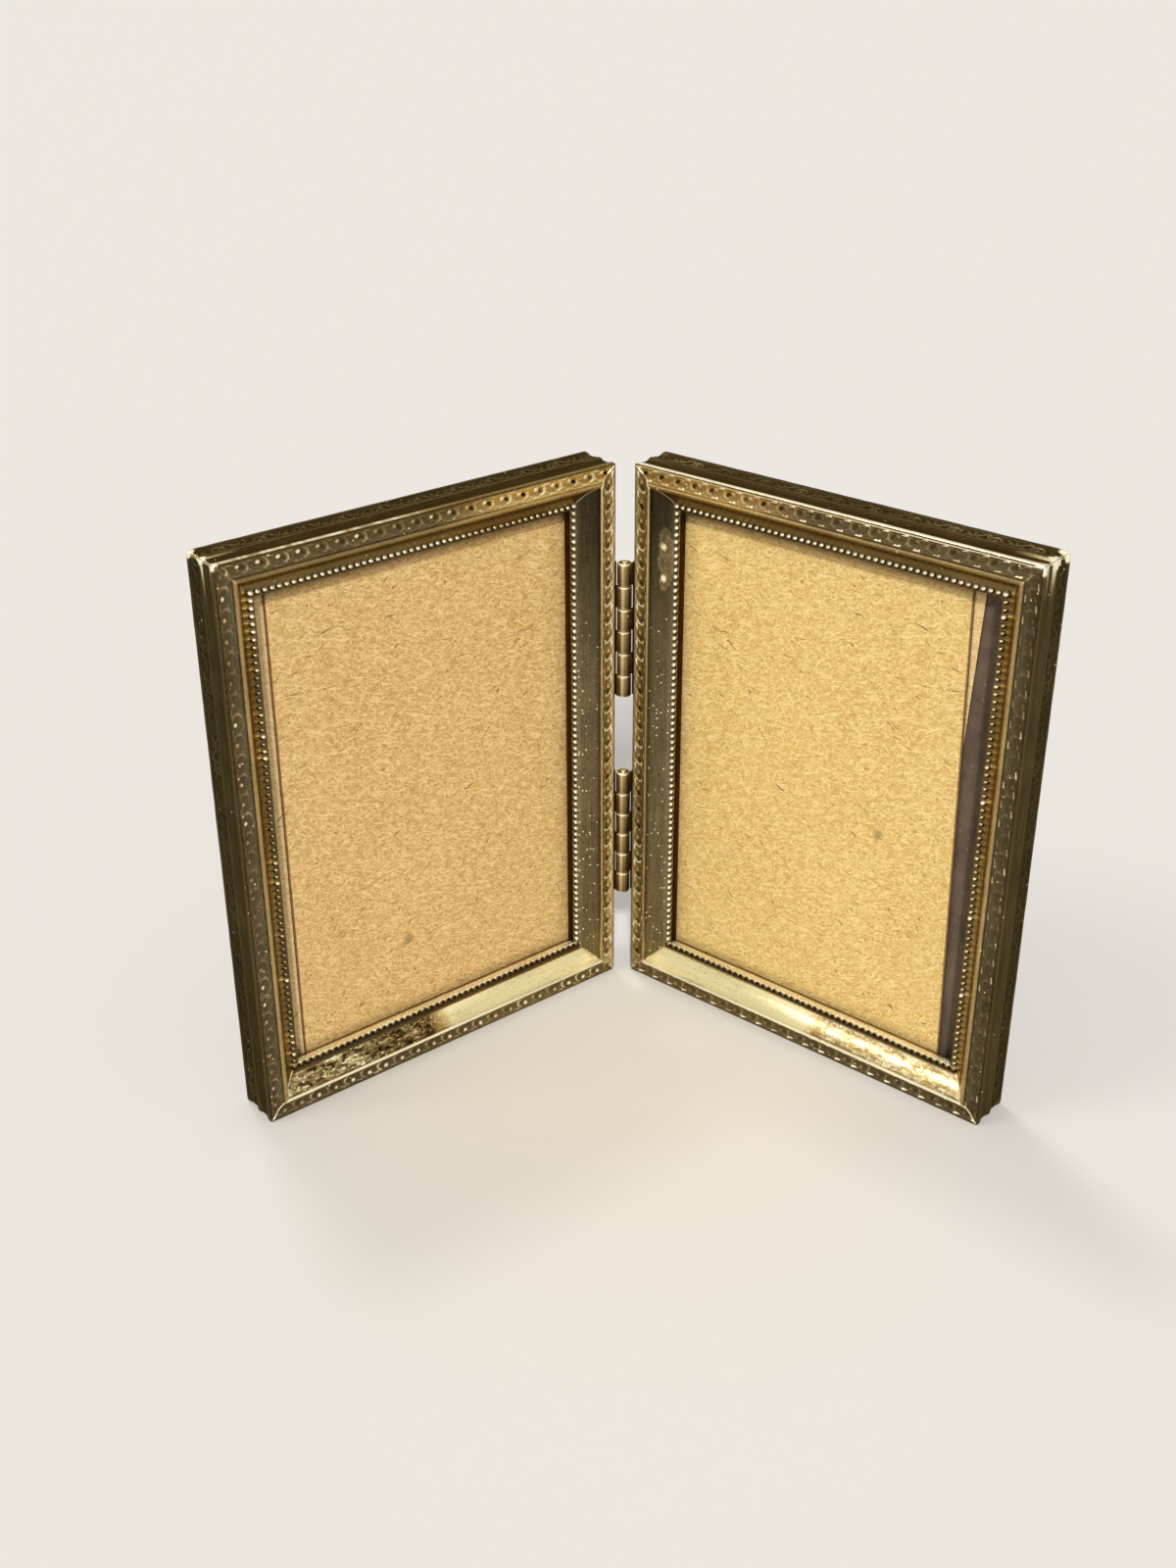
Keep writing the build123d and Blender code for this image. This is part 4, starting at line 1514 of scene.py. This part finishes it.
def dress(node, material):
    """Gives a CAD node its material."""
    mesh = frame["nodes"][node].data
    mesh.materials.clear()
    mesh.materials.append(material)


for side in ("left", "right"):
    dress(side + "_corner_braces", plain_brass)
    dress(side + "_backing_board", grey_board)
    dress(side + "_retaining_points", tinned)


# Floor, backdrop, light and camera

floor_colour = linear(226, 224, 220)
floor_size = 12.0


def make_floor():
    """A plain pale floor that goes on into the backdrop."""
    mesh = bpy.data.meshes.new("floor")
    half = floor_size / 2
    corners = [(-half, -half, 0), (half, -half, 0), (half, half, 0), (-half, half, 0)]
    mesh.from_pydata(corners, [], [(0, 1, 2, 3)])
    material = bpy.data.materials.new("pale_floor")
    material.use_nodes = True
    shader = material.node_tree.nodes["Principled BSDF"]
    shader.inputs["Base Color"].default_value = floor_colour
    shader.inputs["Roughness"].default_value = 0.9
    shader.inputs["Specular IOR Level"].default_value = 0.1
    mesh.materials.append(material)
    floor = add_object("floor", mesh)


def make_world(seen_strength, lit_strength):
    """Even pale surroundings: one level that the camera and reflections see, and one that lights."""
    world = bpy.data.worlds.new("studio")
    bpy.context.scene.world = world
    world.use_nodes = True
    tree = world.node_tree
    tree.nodes.clear()
    path = tree.nodes.new("ShaderNodeLightPath")
    seen_share = path.outputs["Is Camera Ray"]
    for name in ("Is Glossy Ray", "Is Transmission Ray"):
        add = tree.nodes.new("ShaderNodeMath")
        add.operation = "ADD"
        add.use_clamp = True
        tree.links.new(seen_share, add.inputs[0])
        tree.links.new(path.outputs[name], add.inputs[1])
        seen_share = add.outputs[0]
    mixer = tree.nodes.new("ShaderNodeMixShader")
    tree.links.new(seen_share, mixer.inputs[0])
    levels = ((lit_strength, (1.0, 0.99, 0.97, 1.0)), (seen_strength, floor_colour))
    for number, (strength, colour) in enumerate(levels, 1):
        background = tree.nodes.new("ShaderNodeBackground")
        background.inputs["Color"].default_value = colour
        background.inputs["Strength"].default_value = strength
        tree.links.new(background.outputs[0], mixer.inputs[number])
    output = tree.nodes.new("ShaderNodeOutputWorld")
    tree.links.new(mixer.outputs[0], output.inputs["Surface"])


def make_soft_sun(name, toward, strength, spread, colour=(1.0, 0.97, 0.93)):
    """An even far lamp that shines from the direction toward; spread is its width in degrees."""
    light = bpy.data.lights.new(name, "SUN")
    light.energy = strength
    light.angle = math.radians(spread)
    light.color = colour
    lamp = add_object(name, light)
    lamp.rotation_euler = Vector(toward).to_track_quat("Z", "Y").to_euler()


make_floor()
make_world(1.0, 0.42)
make_soft_sun("front_light", (0.0, -0.77, 0.64), 2.2, 5.0)
make_soft_sun("side_light", (-0.66, -0.2, 0.72), 0.4, 20.0)
make_soft_sun("overhead_light", (-0.2, 0.4, 0.9), 0.5, 11.0)

# Camera at the photograph's view, for a picture of 1200 by 1600
image_height = 1600
focal_pixels = 1867.377
camera_place = (-2.769, -276.612, 199.151)
camera_pitch, camera_yaw, camera_roll = (math.radians(value) for value in (28.063, -0.715, -0.191))
sensor = 36.0


def make_camera():
    """The camera, from its place in millimetres and its pitch, yaw and roll."""
    forward = Vector((math.sin(camera_yaw) * math.cos(camera_pitch),
                      math.cos(camera_yaw) * math.cos(camera_pitch), -math.sin(camera_pitch)))
    level = Vector((math.cos(camera_yaw), -math.sin(camera_yaw), 0.0))
    upright = level.cross(forward)
    right = level * math.cos(camera_roll) + upright * math.sin(camera_roll)
    up = upright * math.cos(camera_roll) - level * math.sin(camera_roll)
    data = bpy.data.cameras.new("camera")
    data.sensor_width = sensor
    data.lens = focal_pixels / image_height * sensor
    data.clip_start, data.clip_end = 0.01, 50.0
    camera = add_object("camera", data)
    turn = Matrix((right, up, -forward)).transposed().to_4x4()
    camera.matrix_world = Matrix.Translation(Vector(camera_place) * MM) @ turn
    bpy.context.scene.camera = camera


make_camera()
bpy.context.scene.view_settings.view_transform = "Standard"
